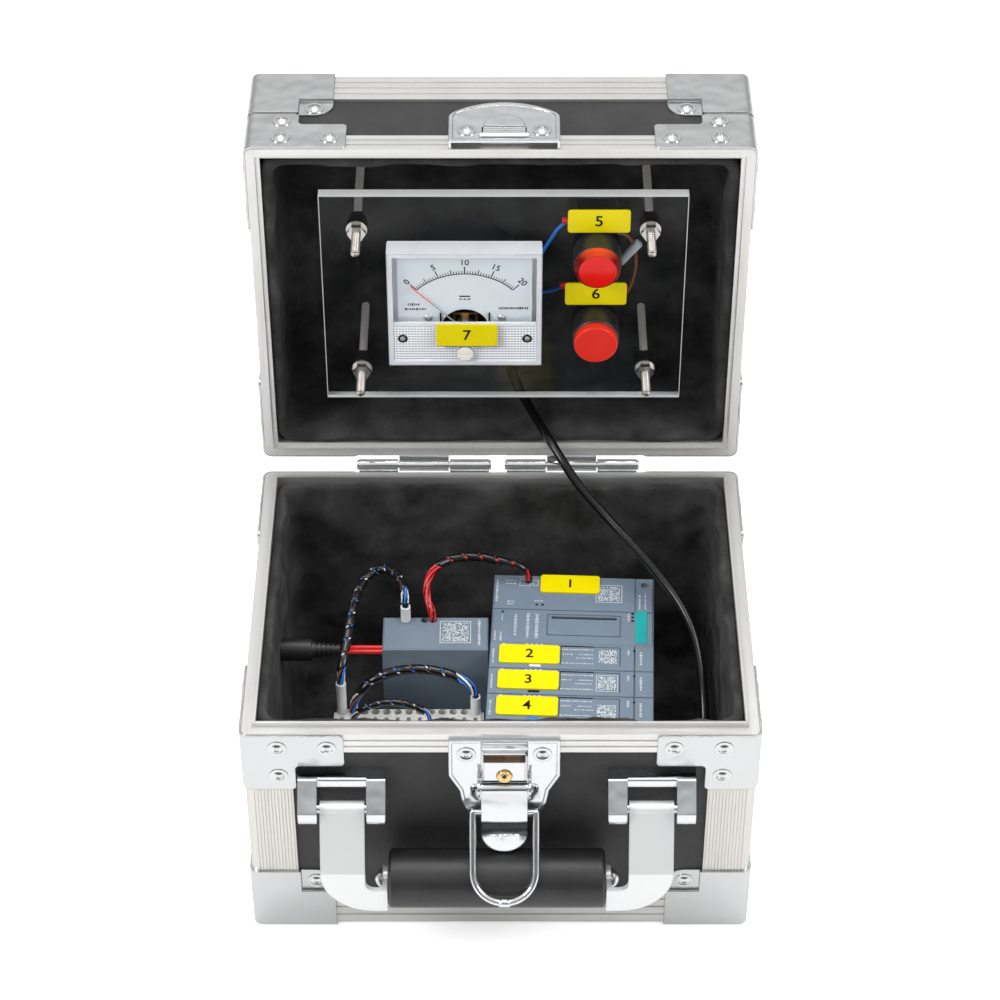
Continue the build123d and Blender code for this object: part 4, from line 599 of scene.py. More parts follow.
# %% Moulded and coated surfaces
def moulded(name, first, second, low, high, grain_scale, depth, mottle=60.0, radius=0.0003, **uniform):
    """Plastic, film or rubber with grain, slow colour change and soft edges."""
    finish, tree, shader = new_finish(name, first, 0.0, low, **uniform)
    texture = use_group(tree, grain, Scale=grain_scale, Mottle_Scale=mottle)
    two_tone(tree, shader, texture.outputs["Mottle"], first, second)
    shine = use_group(tree, smudges, Scale=50.0, Low=low, High=high)
    tree.links.new(shine.outputs["Roughness"], shader.inputs["Roughness"])
    rounding = use_group(tree, edge_rounding_and_shade, Radius=radius)
    bump(tree, shader, texture.outputs["Height"], depth, rounding.outputs["Normal"])
    return finish


black_board = moulded(
    "black_board", (0.014, 0.014, 0.0145), (0.027, 0.027, 0.0275), 0.42, 0.62, 1300.0, 0.00025,
)
black_foam = moulded(
    "black_foam", (0.014, 0.014, 0.014), (0.060, 0.060, 0.060), 0.85, 1.0, 1400.0, 0.0005, 55.0,
    Sheen_Weight=0.06, Sheen_Roughness=0.5, Specular_IOR_Level=0.12,
)
black_grip = moulded("black_grip", (0.010, 0.010, 0.011), (0.017, 0.017, 0.018), 0.30, 0.46, 1600.0, 0.00012)
module_grey = moulded("module_grey", (0.135, 0.18, 0.235), (0.155, 0.205, 0.26), 0.42, 0.58, 1800.0, 0.00008)
supply_grey = moulded("supply_grey", (0.13, 0.17, 0.215), (0.15, 0.195, 0.24), 0.40, 0.55, 1800.0, 0.00008)
unit_dark = moulded("unit_dark", (0.04, 0.05, 0.06), (0.06, 0.07, 0.08), 0.45, 0.6, 1800.0, 0.00008)
terminal_white = moulded(
    "terminal_white", (0.60, 0.60, 0.565), (0.70, 0.70, 0.67), 0.35, 0.5, 1500.0, 0.00006,
)
inlet_black = moulded("inlet_black", (0.010, 0.010, 0.011), (0.018, 0.018, 0.019), 0.35, 0.5, 1200.0, 0.0001)
tag_yellow = moulded("tag_yellow", (0.74, 0.62, 0.0), (0.78, 0.65, 0.0), 0.28, 0.4, 900.0, 0.00003,
                     Specular_IOR_Level=0.25)
sleeve_white = moulded("sleeve_white", (0.72, 0.73, 0.74), (0.84, 0.84, 0.84), 0.35, 0.5, 900.0, 0.00005)
switch_black = moulded(
    "switch_black", (0.010, 0.010, 0.011), (0.016, 0.016, 0.017), 0.30, 0.45, 1500.0, 0.00005,
)
dial_white = moulded("dial_white", (0.60, 0.645, 0.67), (0.63, 0.675, 0.70), 0.45, 0.55, 1500.0, 0.00001)
print_black = moulded("print_black", (0.006, 0.006, 0.007), (0.012, 0.012, 0.013), 0.6, 0.7, 900.0, 0.00001,
                      Specular_IOR_Level=0.1)
print_pale = moulded("print_pale", (0.50, 0.54, 0.57), (0.60, 0.63, 0.66), 0.5, 0.6, 900.0, 0.00001)
screw_white = moulded("screw_white", (0.78, 0.76, 0.68), (0.86, 0.84, 0.77), 0.3, 0.45, 900.0, 0.00003)
teal_plate = moulded("teal_plate", (0.0, 0.30, 0.30), (0.01, 0.36, 0.35), 0.4, 0.5, 900.0, 0.00001)
wire_red = moulded("wire_red", (0.62, 0.012, 0.014), (0.75, 0.03, 0.03), 0.25, 0.35, 900.0, 0.00003)
wire_blue = moulded("wire_blue", (0.01, 0.16, 0.66), (0.02, 0.22, 0.78), 0.25, 0.35, 900.0, 0.00003)
wire_brown = moulded("wire_brown", (0.16, 0.055, 0.022), (0.22, 0.08, 0.035), 0.3, 0.4, 900.0, 0.00003)
wire_white = moulded("wire_white", (0.72, 0.73, 0.75), (0.82, 0.82, 0.83), 0.3, 0.4, 900.0, 0.00003)
wrap_black = moulded("wrap_black", (0.005, 0.005, 0.006), (0.009, 0.009, 0.010), 0.10, 0.18, 700.0, 0.00003)
cable_black = moulded("cable_black", (0.004, 0.004, 0.004), (0.006, 0.006, 0.006), 0.10, 0.18, 500.0, 0.00002,
                      Specular_IOR_Level=0.35)
# painted shade: near-black sheets laid where slots, holes, steps and openings fall into shade
painted_recess_shade = moulded("painted_recess_shade", (0.004, 0.004, 0.004), (0.008, 0.008, 0.008), 0.5, 0.7, 900.0, 0.00001)
amber_glass = moulded(
    "amber_glass", (0.05, 0.022, 0.008), (0.30, 0.17, 0.08), 0.1, 0.2, 900.0, 0.00002, 120.0,
)
frosted_edge = moulded("frosted_edge", (0.80, 0.81, 0.815), (0.88, 0.89, 0.895), 0.25, 0.45, 900.0, 0.00002,
                       Transmission_Weight=0.3)
white_plastic = moulded("white_plastic", (0.70, 0.73, 0.75), (0.74, 0.77, 0.79), 0.3, 0.4, 900.0, 0.00002)
print("plastics ready")

# %% [markdown]
# ## Clear plastic and red lenses
# A clear sheet is glass to the eye, but a path tracer lets hardly any lamp light through glass
# in a straight line, so what lies behind it would be too dark. The usual mend is to turn the
# glass into a plain see-through shader for shadow rays only, with the Light Path node.

# %% Clear plastic
def let_light_through(tree, shader, tint):
    """A finish that lamps shine through, while the eye sees its surface."""
    passing = tree.nodes.new("ShaderNodeBsdfTransparent")
    passing.inputs["Color"].default_value = (*tint, 1)
    rays = tree.nodes.new("ShaderNodeLightPath")
    choose = tree.nodes.new("ShaderNodeMixShader")
    tree.links.new(rays.outputs["Is Shadow Ray"], choose.inputs["Fac"])
    tree.links.new(shader.outputs["BSDF"], choose.inputs[1])
    tree.links.new(passing.outputs["BSDF"], choose.inputs[2])
    tree.links.new(choose.outputs["Shader"], tree.nodes["Material Output"].inputs["Surface"])


def clear_plastic(name, tint, roughness, bending):
    """Glass-like plastic that lets lamps shine through."""
    finish, tree, shader = new_finish(name, tint, 0.0, roughness, Transmission_Weight=1.0, IOR=bending)
    shine = use_group(tree, smudges, Scale=40.0, Low=0.0, High=2.0 * roughness)
    tree.links.new(shine.outputs["Roughness"], shader.inputs["Roughness"])
    shader.inputs["Specular IOR Level"].default_value = 0.25
    let_light_through(tree, shader, tint)
    return finish


clear_sheet = clear_plastic("clear_sheet", (0.97, 0.98, 0.985), 0.01, 1.17)
meter_clear = clear_plastic("meter_clear", (0.975, 0.98, 0.99), 0.02, 1.20)
wall_clear = moulded("wall_clear", (0.56, 0.57, 0.61), (0.64, 0.65, 0.69), 0.15, 0.3, 600.0, 0.00002)
wall_tree = wall_clear.node_tree
let_light_through(wall_tree, wall_tree.nodes["Principled BSDF"], (0.9, 0.9, 0.92))
lamp_red = moulded("lamp_red", (0.66, 0.007, 0.004), (0.72, 0.011, 0.006), 0.10, 0.2, 500.0, 0.00002,
                   Specular_IOR_Level=0.3)
button_red = moulded("button_red", (0.66, 0.022, 0.012), (0.72, 0.030, 0.016), 0.30, 0.42, 900.0, 0.00003,
                     Specular_IOR_Level=0.2)
print("clear and red plastics ready")

# %% The lens rim: painted shade, dark red below, and painted light, orange above
lens_rim, rim_tree, rim_shader = new_finish("lens_rim", (0.3, 0.01, 0.005), 0.0, 0.12)
lens_spot = (40.0, 25.5, 11.0)
lamp_middle = (at_panel @ Vector(lens_spot)).z
rise_per_metre = 60.0
above_middle = math_node(rim_tree, "SUBTRACT", object_axes(rim_tree)["Z"], lamp_middle)
rim_rise = math_node(rim_tree, "MULTIPLY", above_middle, rise_per_metre)
# painted light and shade: dark red below the lamp's middle, lit orange above it
two_tone(rim_tree, rim_shader, rim_rise, (0.12, 0.002, 0.002), (0.85, 0.075, 0.012))
rim_shader.inputs["Specular IOR Level"].default_value = 0.1
print("lens rim turns from dark to lit at", round(lamp_middle, 4))

# %% The needle: a red pointer whose inner half is a bare grey wire
pivot_y = -13.1
wire_end = 0.0205
needle_red, needle_tree, needle_shader = new_finish("needle_red", (0.84, 0.13, 0.10), 0.0, 0.45)
needle_place = needle_tree.nodes.new("ShaderNodeTexCoord")
needle_reach = needle_tree.nodes.new("ShaderNodeVectorMath")
needle_reach.operation = "DISTANCE"
needle_tree.links.new(needle_place.outputs["Object"], needle_reach.inputs[0])
needle_reach.inputs[1].default_value = at_meter @ Vector((0, pivot_y, 6.0))
needle_outer = math_node(needle_tree, "GREATER_THAN", needle_reach.outputs["Value"], wire_end)
two_tone(needle_tree, needle_shader, needle_outer, (0.30, 0.31, 0.32), (0.84, 0.13, 0.10))
print("needle is bare up to", wire_end, "m from its pivot")

# %% The ribbed window over the lower third of the meter, with painted shade on part of each rib
rib_pitch = 1.35 * mm


def rib_shade_share(tree, along, start):
    """One in the part of each rib past a start, which gets painted shade, zero before it."""
    share = math_node(tree, "FRACT", math_node(tree, "DIVIDE", along, rib_pitch))
    return math_node(tree, "GREATER_THAN", share, start)


ribbed_clear, ribbed_tree, ribbed_shader = new_finish("ribbed_clear", (0.62, 0.64, 0.66), 0.0, 0.25)
rib_axes = object_axes(ribbed_tree)
dash = math_node(
    ribbed_tree, "MULTIPLY", rib_shade_share(ribbed_tree, rib_axes["X"], 0.35),
    rib_shade_share(ribbed_tree, rib_axes["Z"], 0.62),
)
# painted light and shade: pale and dark dashes stand in for the ribs' lit and shaded facets
two_tone(ribbed_tree, ribbed_shader, dash, (0.84, 0.85, 0.87), (0.14, 0.14, 0.145))
print("ribs every", round(rib_pitch / mm, 2), "mm")

# %% [markdown]
# ## Finishes on the CAD pieces
# Each node keeps its shape and only changes its material. A dictionary from node to finish is
# the easiest list to read and to change.

# %% Dress the nodes
node_finish = {
    "base_wall_panels": black_board, "base_bottom_panel": black_board,
    "lid_wall_panels": black_board, "lid_top_panel": black_board,
    "base_rails": rail_finish["base"], "lid_rails": rail_finish["lid"],
    "base_corner_posts": post_finish["base"], "lid_corner_posts": post_finish["lid"],
    "base_corner_plates": corner_steel, "base_corner_caps": corner_steel,
    "lid_corner_plates": corner_steel, "lid_corner_caps": corner_steel,
    "base_rivets": rivet_steel, "lid_rivets": rivet_steel,
    "hinge_base_leaves": chrome, "hinge_lid_leaves": chrome, "hinge_pins": chrome,
    "latch_plate": chrome, "latch_lever": chrome, "latch_bail": chrome, "pivot_pins": chrome,
    "lid_keeper": chrome, "lock_core": lock_brass,
    "handle_brackets": chrome, "handle_arms": arm_steel, "handle_bolt": chrome,
    "handle_grip": black_grip, "mounting_rails": zinc_steel,
    "head_module": module_grey, "io_module_1": module_grey, "io_module_2": module_grey,
    "io_module_3": module_grey, "rack_base_units": unit_dark, "power_supply": supply_grey,
    "terminal_strip": terminal_white, "dc_inlet": inlet_black, "inlet_wires": wire_red,
    "wire_sleeves": sleeve_white, "rack_tags": tag_yellow, "lid_tags": tag_yellow,
    "clear_panel": clear_sheet, "panel_rods": stainless, "panel_nuts": nut_steel,
    "meter_body": meter_case, "meter_cover": meter_clear, "meter_dial": dial_white,
    "meter_movement": lock_brass, "meter_needle": needle_red, "zero_screw": screw_white,
    "switch_bodies": switch_black, "lamp_lens": lamp_red, "button_cap": button_red,
    "button_spring": stainless,
}
for name, finish in node_finish.items():
    for material_slot in nodes[name].material_slots:
        material_slot.material = finish
print(len(node_finish), "nodes dressed")

# %% [markdown]
# ## Foam lining
# Thin black foam is glued loosely into both halves. It bridges the corners in soft curves, its
# free edge wanders, and it ripples where the glue let go. One function makes such a tray: rings
# of points go up the hidden outside, over the edge, down the inside and in to the middle of the
# floor. Noise that depends only on the place moves the points, so the ripples come out the same
# in every run.

# %% Rings of a foam tray
foam_step = 3.0
foam_corner = 7.0
foam_thick = 3.4
edge_round = 1.2
bend_rings, floor_rings, corner_steps = 4, 12, 5
sag_reach = 12.0


def ring_points(half_x, half_y, radius, count_x, count_y, count_corner):
    """Points round a rectangle with round corners, as (x, y) pairs with outward directions."""
    corners = [(1, 1, 0), (-1, 1, 90), (-1, -1, 180), (1, -1, 270)]
    points = []
    for number, (sx, sy, start) in enumerate(corners):
        centre = Vector((sx * (half_x - radius), sy * (half_y - radius)))
        for step in range(count_corner + 1):
            angle = radians(start + 90 * step / count_corner)
            way = Vector((cos(angle), sin(angle)))
            points.append((centre + radius * way, way))
        nx, ny, _ = corners[(number + 1) % 4]
        far = Vector((nx * (half_x - radius), ny * (half_y - radius)))
        way = Vector((cos(radians(start + 90)), sin(radians(start + 90))))
        count = count_x if number % 2 == 0 else count_y
        for step in range(1, count):
            share = step / count
            points.append((centre.lerp(far, share) + radius * way, way))
    return points


def foam_levels(half_y, low, top):
    """Inset and height of each ring: up the hidden outside, over the edge, down and along the floor."""
    floor_start = foam_thick + foam_corner
    levels = [
        (0.0, low), (0.0, top - edge_round), (0.5, top - 0.2), (1.7, top), (2.9, top - 0.2),
        (foam_thick, top - edge_round),
    ]
    wall = int((top - low - foam_thick - foam_corner) / foam_step)
    drop = top - edge_round - low - foam_thick - foam_corner
    for step in range(1, wall + 1):
        levels.append((foam_thick, top - edge_round - drop * step / wall))
    for step in range(1, bend_rings + 1):
        angle = pi / 2 * step / bend_rings
        inset = foam_thick + foam_corner * (1 - cos(angle))
        levels.append((inset, low + foam_thick + foam_corner * (1 - sin(angle))))
    for step in range(1, floor_rings + 1):
        inset = floor_start + (half_y - floor_start) * step / (floor_rings + 0.4)
        levels.append((inset, low + foam_thick))
    return levels


# %% A foam tray, ring by ring
def foam_ring_size(half, inset):
    """Half width, half depth and corner radius of a ring. On the floor it shrinks to a line."""
    floor_start = foam_thick + foam_corner
    if inset <= floor_start:
        rx, ry, radius = half[0] - inset, half[1] - inset, foam_corner
    else:
        ry = half[1] - inset
        rx = (half[0] - floor_start) * ry / (half[1] - floor_start)
        radius = foam_corner * ry / (half[1] - floor_start)
    return rx, ry, max(0.2, min(radius, 0.95 * min(rx, ry)))


def foam_tray(name, place, half, low, top, seed, ripple, droop, body, node):
    """A soft tray of foam in a case half, open at the top."""
    count_x, count_y = int(2 * half[0] / foam_step), int(2 * half[1] / foam_step)
    levels = foam_levels(half[1], low, top)
    points = []
    for inset, height in levels:
        for point, way in ring_points(*foam_ring_size(half, inset), count_x, count_y, corner_steps):
            spot = Vector((point.x, point.y, height))
            if inset > 0.1:
                wave = noise.noise(spot * 0.05 + Vector((seed, 0, 0)))
                wave += 0.5 * noise.noise(spot * 0.13 + Vector((0, seed, 0)))
                wave += 0.3 * abs(noise.noise(Vector((spot.x * 0.08, spot.y * 0.08, spot.z * 0.3 + seed))))
                inward = ripple * max(0.0, wave)
                if height <= low + foam_thick + 0.01:
                    spot.z += 0.6 * inward
                else:
                    spot.x -= way.x * inward
                    spot.y -= way.y * inward
            edge = max(0.0, 1 - (top - height) / sag_reach)
            dip = 0.5 + 0.5 * noise.noise(Vector((point.x * 0.035, point.y * 0.035, seed)))
            spot.z -= droop * edge * dip
            points.append(spot)
    faces = skin_faces(len(levels), len(points) // len(levels))
    tray = piece(name, points, faces, place, black_foam, body)
    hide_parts(node)


# %% Both trays
lid_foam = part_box("lid_lining")
lid_turn = Matrix.Rotation(pi / 2, 4, "X")
lid_centre = (lid_foam[0] + lid_foam[1]) / 2
lid_back = lid_foam[1].y
at_lid = Matrix.Translation((lid_centre.x, lid_back, lid_centre.z)) @ lid_turn @ Matrix.Scale(mm, 4)
lid_depth = (lid_back - lid_foam[0].y) / mm
base_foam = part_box("base_lining")
base_low, base_top = base_foam[0].z / mm, base_foam[1].z / mm
foam_half = (100.4, 76.9)
below_edge = 0.3
foam_tray(
    "base_foam", at_base, foam_half, base_low, base_top - below_edge, 3.0, 3.0, 2.4, "base", "base_lining",
)
foam_tray("lid_foam", at_lid, foam_half, 0.0, lid_depth - below_edge, 8.0, 2.0, 1.8, "lid", "lid_lining")

# %% [markdown]
# ## Wiring
# A wire is a length of something that bends under its own weight, so it is a smooth spline. The
# route's points are the ones of the CAD model. They are the control points of a NURBS spline,
# which passes near them in one even curve.

# %% A spline through listed points
def spline(name, route, place, radius, finish):
    """A NURBS curve with a round bevel, with the route's points as its control points."""
    data = bpy.data.curves.new(name, "CURVE")
    data.dimensions = "3D"
    data.resolution_u = 12
    line = data.splines.new("NURBS")
    line.points.add(len(route) - 1)
    for control, point in zip(line.points, route):
        control.co = (*(place @ Vector(point)), 1)
    line.order_u = 3
    line.use_endpoint_u = True
    data.bevel_depth = radius
    data.bevel_resolution = 5
    data.use_fill_caps = True
    data.materials.append(finish)
    curve = bpy.data.objects.new(name, data)
    bpy.context.collection.objects.link(curve)
    return curve


def line_points(curve):
    """Points along a curve, read from it as Blender draws it, with no bevel."""
    depth = curve.data.bevel_depth
    curve.data.bevel_depth = 0
    bpy.context.view_layer.update()
    mesh = bpy.data.meshes.new_from_object(curve)
    points = [vertex.co.copy() for vertex in mesh.vertices]
    bpy.data.meshes.remove(mesh)
    curve.data.bevel_depth = depth
    return points


def length_of(points):
    return sum((after - before).length for before, after in zip(points, points[1:]))


# %% Evenly spaced frames along a line
def frames_along(points, step):
    """Points at an even step with two steady side directions."""
    spots, carry = [points[0].copy()], 0.0
    for before, after in zip(points, points[1:]):
        run = (after - before).length
        while carry + step <= run:
            carry += step
            spots.append(before.lerp(after, carry / run))
        carry -= run
    forward = (spots[1] - spots[0]).normalized()
    side = forward.orthogonal().normalized()
    frames = []
    for number, spot in enumerate(spots):
        ahead = spots[min(number + 1, len(spots) - 1)] - spots[max(number - 1, 0)]
        forward = ahead.normalized()
        side = (side - side.dot(forward) * forward).normalized()
        frames.append((spot, forward, side, forward.cross(side)))
    return frames


# %% Strands and wraps that wind round a line
def strand(name, points, radius, turn_radius, pitch, phase, finish, sides=8):
    """A thin wire that winds round a line."""
    step = pitch / 14
    frames = frames_along(points, step)
    vertices = []
    for number, (spot, forward, side, up) in enumerate(frames):
        angle = phase + 2 * pi * number * step / pitch
        out = cos(angle) * side + sin(angle) * up
        across = forward.cross(out)
        for corner in range(sides):
            around = 2 * pi * corner / sides
            vertices.append(spot + turn_radius * out + radius * (cos(around) * out + sin(around) * across))
    faces = skin_faces(len(frames), sides)
    return piece(name, vertices, faces, Matrix.Identity(4), finish, None)


def wrap(name, points, inner, outer, pitch, cover, finish, start=0.0, stop=1.0):
    """A spiral band of plastic wound round a bundle, leaving a narrow gap at each turn."""
    turns = 28
    step = pitch / turns
    frames = frames_along(points, step)
    first, last = int(start * len(frames)), int(stop * len(frames))
    ahead = int(cover * turns)
    profile = [(0.0, 0.0), (0.06, 0.8), (0.14, 1.0), (0.5, 1.0), (0.86, 1.0), (0.94, 0.8), (1.0, 0.0)]
    vertices, rows, width = [], 0, len(profile)
    for number in range(first, last - ahead):
        angle = 2 * pi * (number - first) / turns
        for along_share, rise in profile:
            spot, forward, side, up = frames[number + round(along_share * ahead)]
            out = cos(angle) * side + sin(angle) * up
            vertices.append(spot + (inner + (outer - inner) * rise) * out)
        rows += 1
    faces = skin_faces(rows, width)[:-2]
    faces.append(tuple(range(width)))
    faces.append(tuple(reversed(range((rows - 1) * width, rows * width))))
    return piece(name, vertices, faces, Matrix.Identity(4), finish, None)


# %% Routes in the base, in millimetres from its middle
block_first = -69.75
block_second = -64.85
block_low = -30.55
block_last = -10.95
hole_y = -13.2
supply_y = 19.2
left_route = [
    (block_first, hole_y, 77.7), (block_first, hole_y, 82.5), (-68.0, -4.5, 88.4), (-66.4, 9.7, 92.0),
    (-64.4, 23.6, 94.4), (-61.0, 35.0, 95.4), (-54.6, 41.6, 96.4), (-47.4, 36.4, 98.6),
    (-43.6, 27.4, 101.0), (-42.0, supply_y, 99.4), (-42.0, supply_y, 93.3),
]
red_route = [
    (-30.0, supply_y, 85.3), (-30.0, supply_y, 89.6), (-32.6, 25.0, 92.6), (-33.0, 32.4, 95.4),
    (-29.6, 41.0, 97.0), (-22.0, 46.6, 97.4), (-11.0, 48.6, 97.0), (-1.0, 47.2, 95.4),
    (8.0, 46.2, 93.6), (12.6, 45.4, 89.6), (12.6, 45.4, 84.3),
]
front_route = [
    (block_second, hole_y, 60.3), (block_second, hole_y, 65.4), (-61.4, -11.6, 71.0), (-56.0, -8.4, 75.4),
    (-47.0, -7.0, 79.0), (-36.8, -7.2, 80.8), (-27.4, -8.4, 80.6), (-18.6, -10.6, 79.0),
    (block_last, hole_y, 75.0), (block_last, hole_y, 69.5),
]
low_route = [
    (block_second, -21.0, 60.3), (block_second, -21.0, 64.6), (-60.0, -20.0, 69.0), (-52.6, -19.0, 71.6),
    (-44.6, -19.2, 72.2), (-37.0, -20.2, 70.2), (block_low, -21.0, 66.0), (block_low, -21.0, 60.3),
]

# %% Looms: a core, wires that wind round it, and a spiral wrap
def loom(name, route, size, thick, strands, pitch, wrap_start, wrap_stop, node):
    """A bundle of thin wires round a core, in a spiral wrap."""
    core = spline(name, route, at_base, 0.36 * size * mm, wrap_black)
    points = line_points(core)
    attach(core, "base")
    parts = []
    for number, finish in enumerate(strands):
        phase = 2 * pi * number / len(strands)
        parts.append(strand(
            f"{name}_wire_{number + 1}", points, thick * size * mm, (0.47 - thick) * size * mm,
            9 * size * mm, phase, finish,
        ))
    parts.append(wrap(
        f"{name}_wrap", points, 0.46 * size * mm, 0.55 * size * mm, pitch * size * mm, 0.9,
        wrap_black, wrap_start, wrap_stop,
    ))
    for part in parts:
        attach(part, "base")
    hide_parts(node)


blue_white = [wire_blue, wire_white, wire_brown, wire_blue, wire_white]
loom("left_loom_cord", left_route, 4.0, 0.14, blue_white, 1.7, 0.03, 0.97, "left_loom")
loom("red_loom_cord", red_route, 3.6, 0.2, [wire_red] * 4, 2.0, 0.3, 1.0, "red_loom")
loom("front_loom_cord", front_route, 4.0, 0.14, blue_white, 1.7, 0.1, 0.86, "front_looms")
loom("low_loom_cord", low_route, 3.0, 0.14, blue_white, 1.7, 0.12, 0.9, "front_looms")

# %% [markdown]
# ## The black cable between lid and base
# This cable crosses the hinge. Its tube is turned into a mesh after the curve is drawn, and its
# centre line goes along for the measurement.

# %% The panel cable
cable_route = [
    (2.0, 123.0, 165.0), (3.4, 121.0, 152.0), (8.4, 113.0, 141.4), (14.4, 102.0, 137.0),
    (20.2, 89.6, 134.6), (26.8, 78.6, 129.6), (34.0, 70.0, 122.0), (44.6, 60.0, 114.6),
    (56.6, 47.6, 107.6), (68.8, 35.6, 99.8), (79.2, 23.6, 92.8), (85.4, 11.0, 86.6),
    (88.0, -2.0, 80.8), (88.8, -14.5, 74.4), (89.2, -26.0, 66.0), (88.8, -34.0, 54.5),
    (86.6, -37.6, 42.0), (80.0, -38.4, 31.6), (69.0, -38.0, 28.0),
]
cable_size = 4.2
cable_curve = spline("panel_cable_line", cable_route, at_base, cable_size / 2 * mm, cable_black)
cable_points = line_points(cable_curve)
cable_mesh = bpy.data.meshes.new_from_object(cable_curve)
cable = bpy.data.objects.new("panel_cable_cord", cable_mesh)
bpy.context.collection.objects.link(cable)
bpy.data.objects.remove(cable_curve)
for polygon in cable.data.polygons:
    polygon.use_smooth = True
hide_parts("panel_cable")
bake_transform(cable)
print("cable", round(length_of(cable_points) / mm, 1), "mm")

# %% [markdown]
# ## Thin wires behind the clear panel
# Three thin wires join the meter, the lamp and the button. They lie in the panel's own plane,
# so their points are written in the panel's millimetres: right, up and out of its front.

# %% Panel wires
panel_routes = {
    "meter_lamp_wire": ([(1.6, 1.5, -29.0), (6.5, 1.5, -29.0), (15.0, 6.0, -22.0), (19.0, 17.0, -18.0),
                         (25.6, 30.4, -17.0), (31.2, 30.4, -17.0)], wire_blue),
    "meter_button_wire": ([(-30.1, 1.5, -31.0), (-20.0, 1.5, -31.0), (-4.0, -4.0, -32.5),
                           (12.0, -15.0, -26.0), (22.0, -9.4, -20.0), (26.5, -5.0, -18.0),
                           (31.2, -5.0, -18.0)], wire_blue),
    "lamp_button_wire": ([(48.8, 23.5, -18.0), (53.4, 23.5, -18.0), (57.6, 14.0, -19.0), (58.0, 2.0, -19.0),
                          (54.0, -11.7, -18.0), (48.8, -11.7, -18.0)], wire_brown),
}
wire_size = 1.6
for name, (route, finish) in panel_routes.items():
    wire = spline(name, route, at_panel, wire_size / 2 * mm, finish)
    points = line_points(wire)
    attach(wire, "lid")
    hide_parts("panel_wires")
    print(name, round(length_of(points) / mm, 1), "mm")

# %% [markdown]
# ## The clear panel and its rods
# A saw-cut edge of clear sheet scatters light, so it looks white while the sheet's face stays
# clear. The rods carry a rolled thread, which is a row of fine ridges to the eye.

# %% Frosted edges of the clear panel, and a painted highlight along its bottom
sheet_x, sheet_y, sheet_thick, edge_step = 78.05, 54.05, 5.0, 0.3
ring_piece(
    "panel_cut_edges", rectangle(-sheet_x, sheet_x, -sheet_y, sheet_y),
    rectangle(-sheet_x - edge_step, sheet_x + edge_step, -sheet_y - edge_step, sheet_y + edge_step),
    -sheet_thick, 0.0, at_panel, frosted_edge, "lid",
)
# painted highlight: a frosted strip on the sheet's front along its bottom, for the bright look of the bottom
# edge
bottom_edge_highlight = rectangle(-78.2, 78.2, -54.3, -52.9)
prints("panel_bottom_edge_highlight", [bottom_edge_highlight], at_panel, 0.01, 0.08, frosted_edge, "lid")

# %% Threaded rods
rod_back, rod_front, stud_start, thread_pitch = -50.3, 18.5, 4.2, 0.7
thread = [(1.3, rod_back)]
ridge = rod_back + 0.4
while ridge < rod_front - 0.6:
    peak = 1.98 if ridge > stud_start else 1.78
    thread += [(1.6, ridge), (peak, ridge + 0.25), (peak, ridge + 0.4)]
    ridge += thread_pitch
thread.append((1.45, rod_front))
rod_x, rod_y = 62.5, 37.5
for number, (x, y) in enumerate([(-rod_x, rod_y), (rod_x, rod_y), (-rod_x, -rod_y), (rod_x, -rod_y)]):
    rod = turned(
        f"threaded_rod_{number + 1}", thread, at_panel @ Matrix.Translation((x, y, 0)), rod_steel,
        "lid", 20,
    )
    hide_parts("panel_rods")

# %% [markdown]
# ## The button's spring
# The spring closes up when the cap goes in, which a stiff copy can't do. A coil of small rings of
# points is made here in its place.

# %% A coil in place of the spring
spring_low, spring_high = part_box("button_spring")
spring_middle = (spring_low + spring_high) / 2
spring_wire, spring_coils, coil_steps, wire_sides, cap_travel = 0.6 * mm, 4, 28, 8, 2.2 * mm
coil_radius = (spring_high.x - spring_low.x - spring_wire) / 2
coil_room = spring_high.y - spring_low.y - spring_wire
coil_points, coil_faces = [], []
for step in range(spring_coils * coil_steps + 1):
    angle = 2 * pi * step / coil_steps
    outward = Vector((cos(angle), 0, sin(angle)))
    rise = spring_low.y + spring_wire / 2 + coil_room * step / (spring_coils * coil_steps)
    heart = Vector((spring_middle.x, rise, spring_middle.z)) + coil_radius * outward
    for side in range(wire_sides):
        round_wire = 2 * pi * side / wire_sides
        way = cos(round_wire) * outward + Vector((0, sin(round_wire), 0))
        coil_points.append(heart + spring_wire / 2 * way)
for step in range(spring_coils * coil_steps):
    for side in range(wire_sides):
        after = (side + 1) % wire_sides
        low, high = step * wire_sides, (step + 1) * wire_sides
        coil_faces.append((low + side, high + side, high + after, low + after))
coil_faces.append(tuple(range(wire_sides)))
coil_faces.append(tuple(reversed(range(len(coil_points) - wire_sides, len(coil_points)))))
coil = piece("button_coil", coil_points, coil_faces, Matrix.Identity(4), stainless, "lid")
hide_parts("button_spring")
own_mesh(coil)

# %% [markdown]
# ## Inside the meter
# Behind its clear cover the meter has a dial with a scale and two steel screws, an opening over
# the coil filled with a disc of painted shade, and a ribbed window over the lower third. Two more
# screws sit in the cover. The scale is drawn from its own numbers: radius, span and the spacing of the ticks.

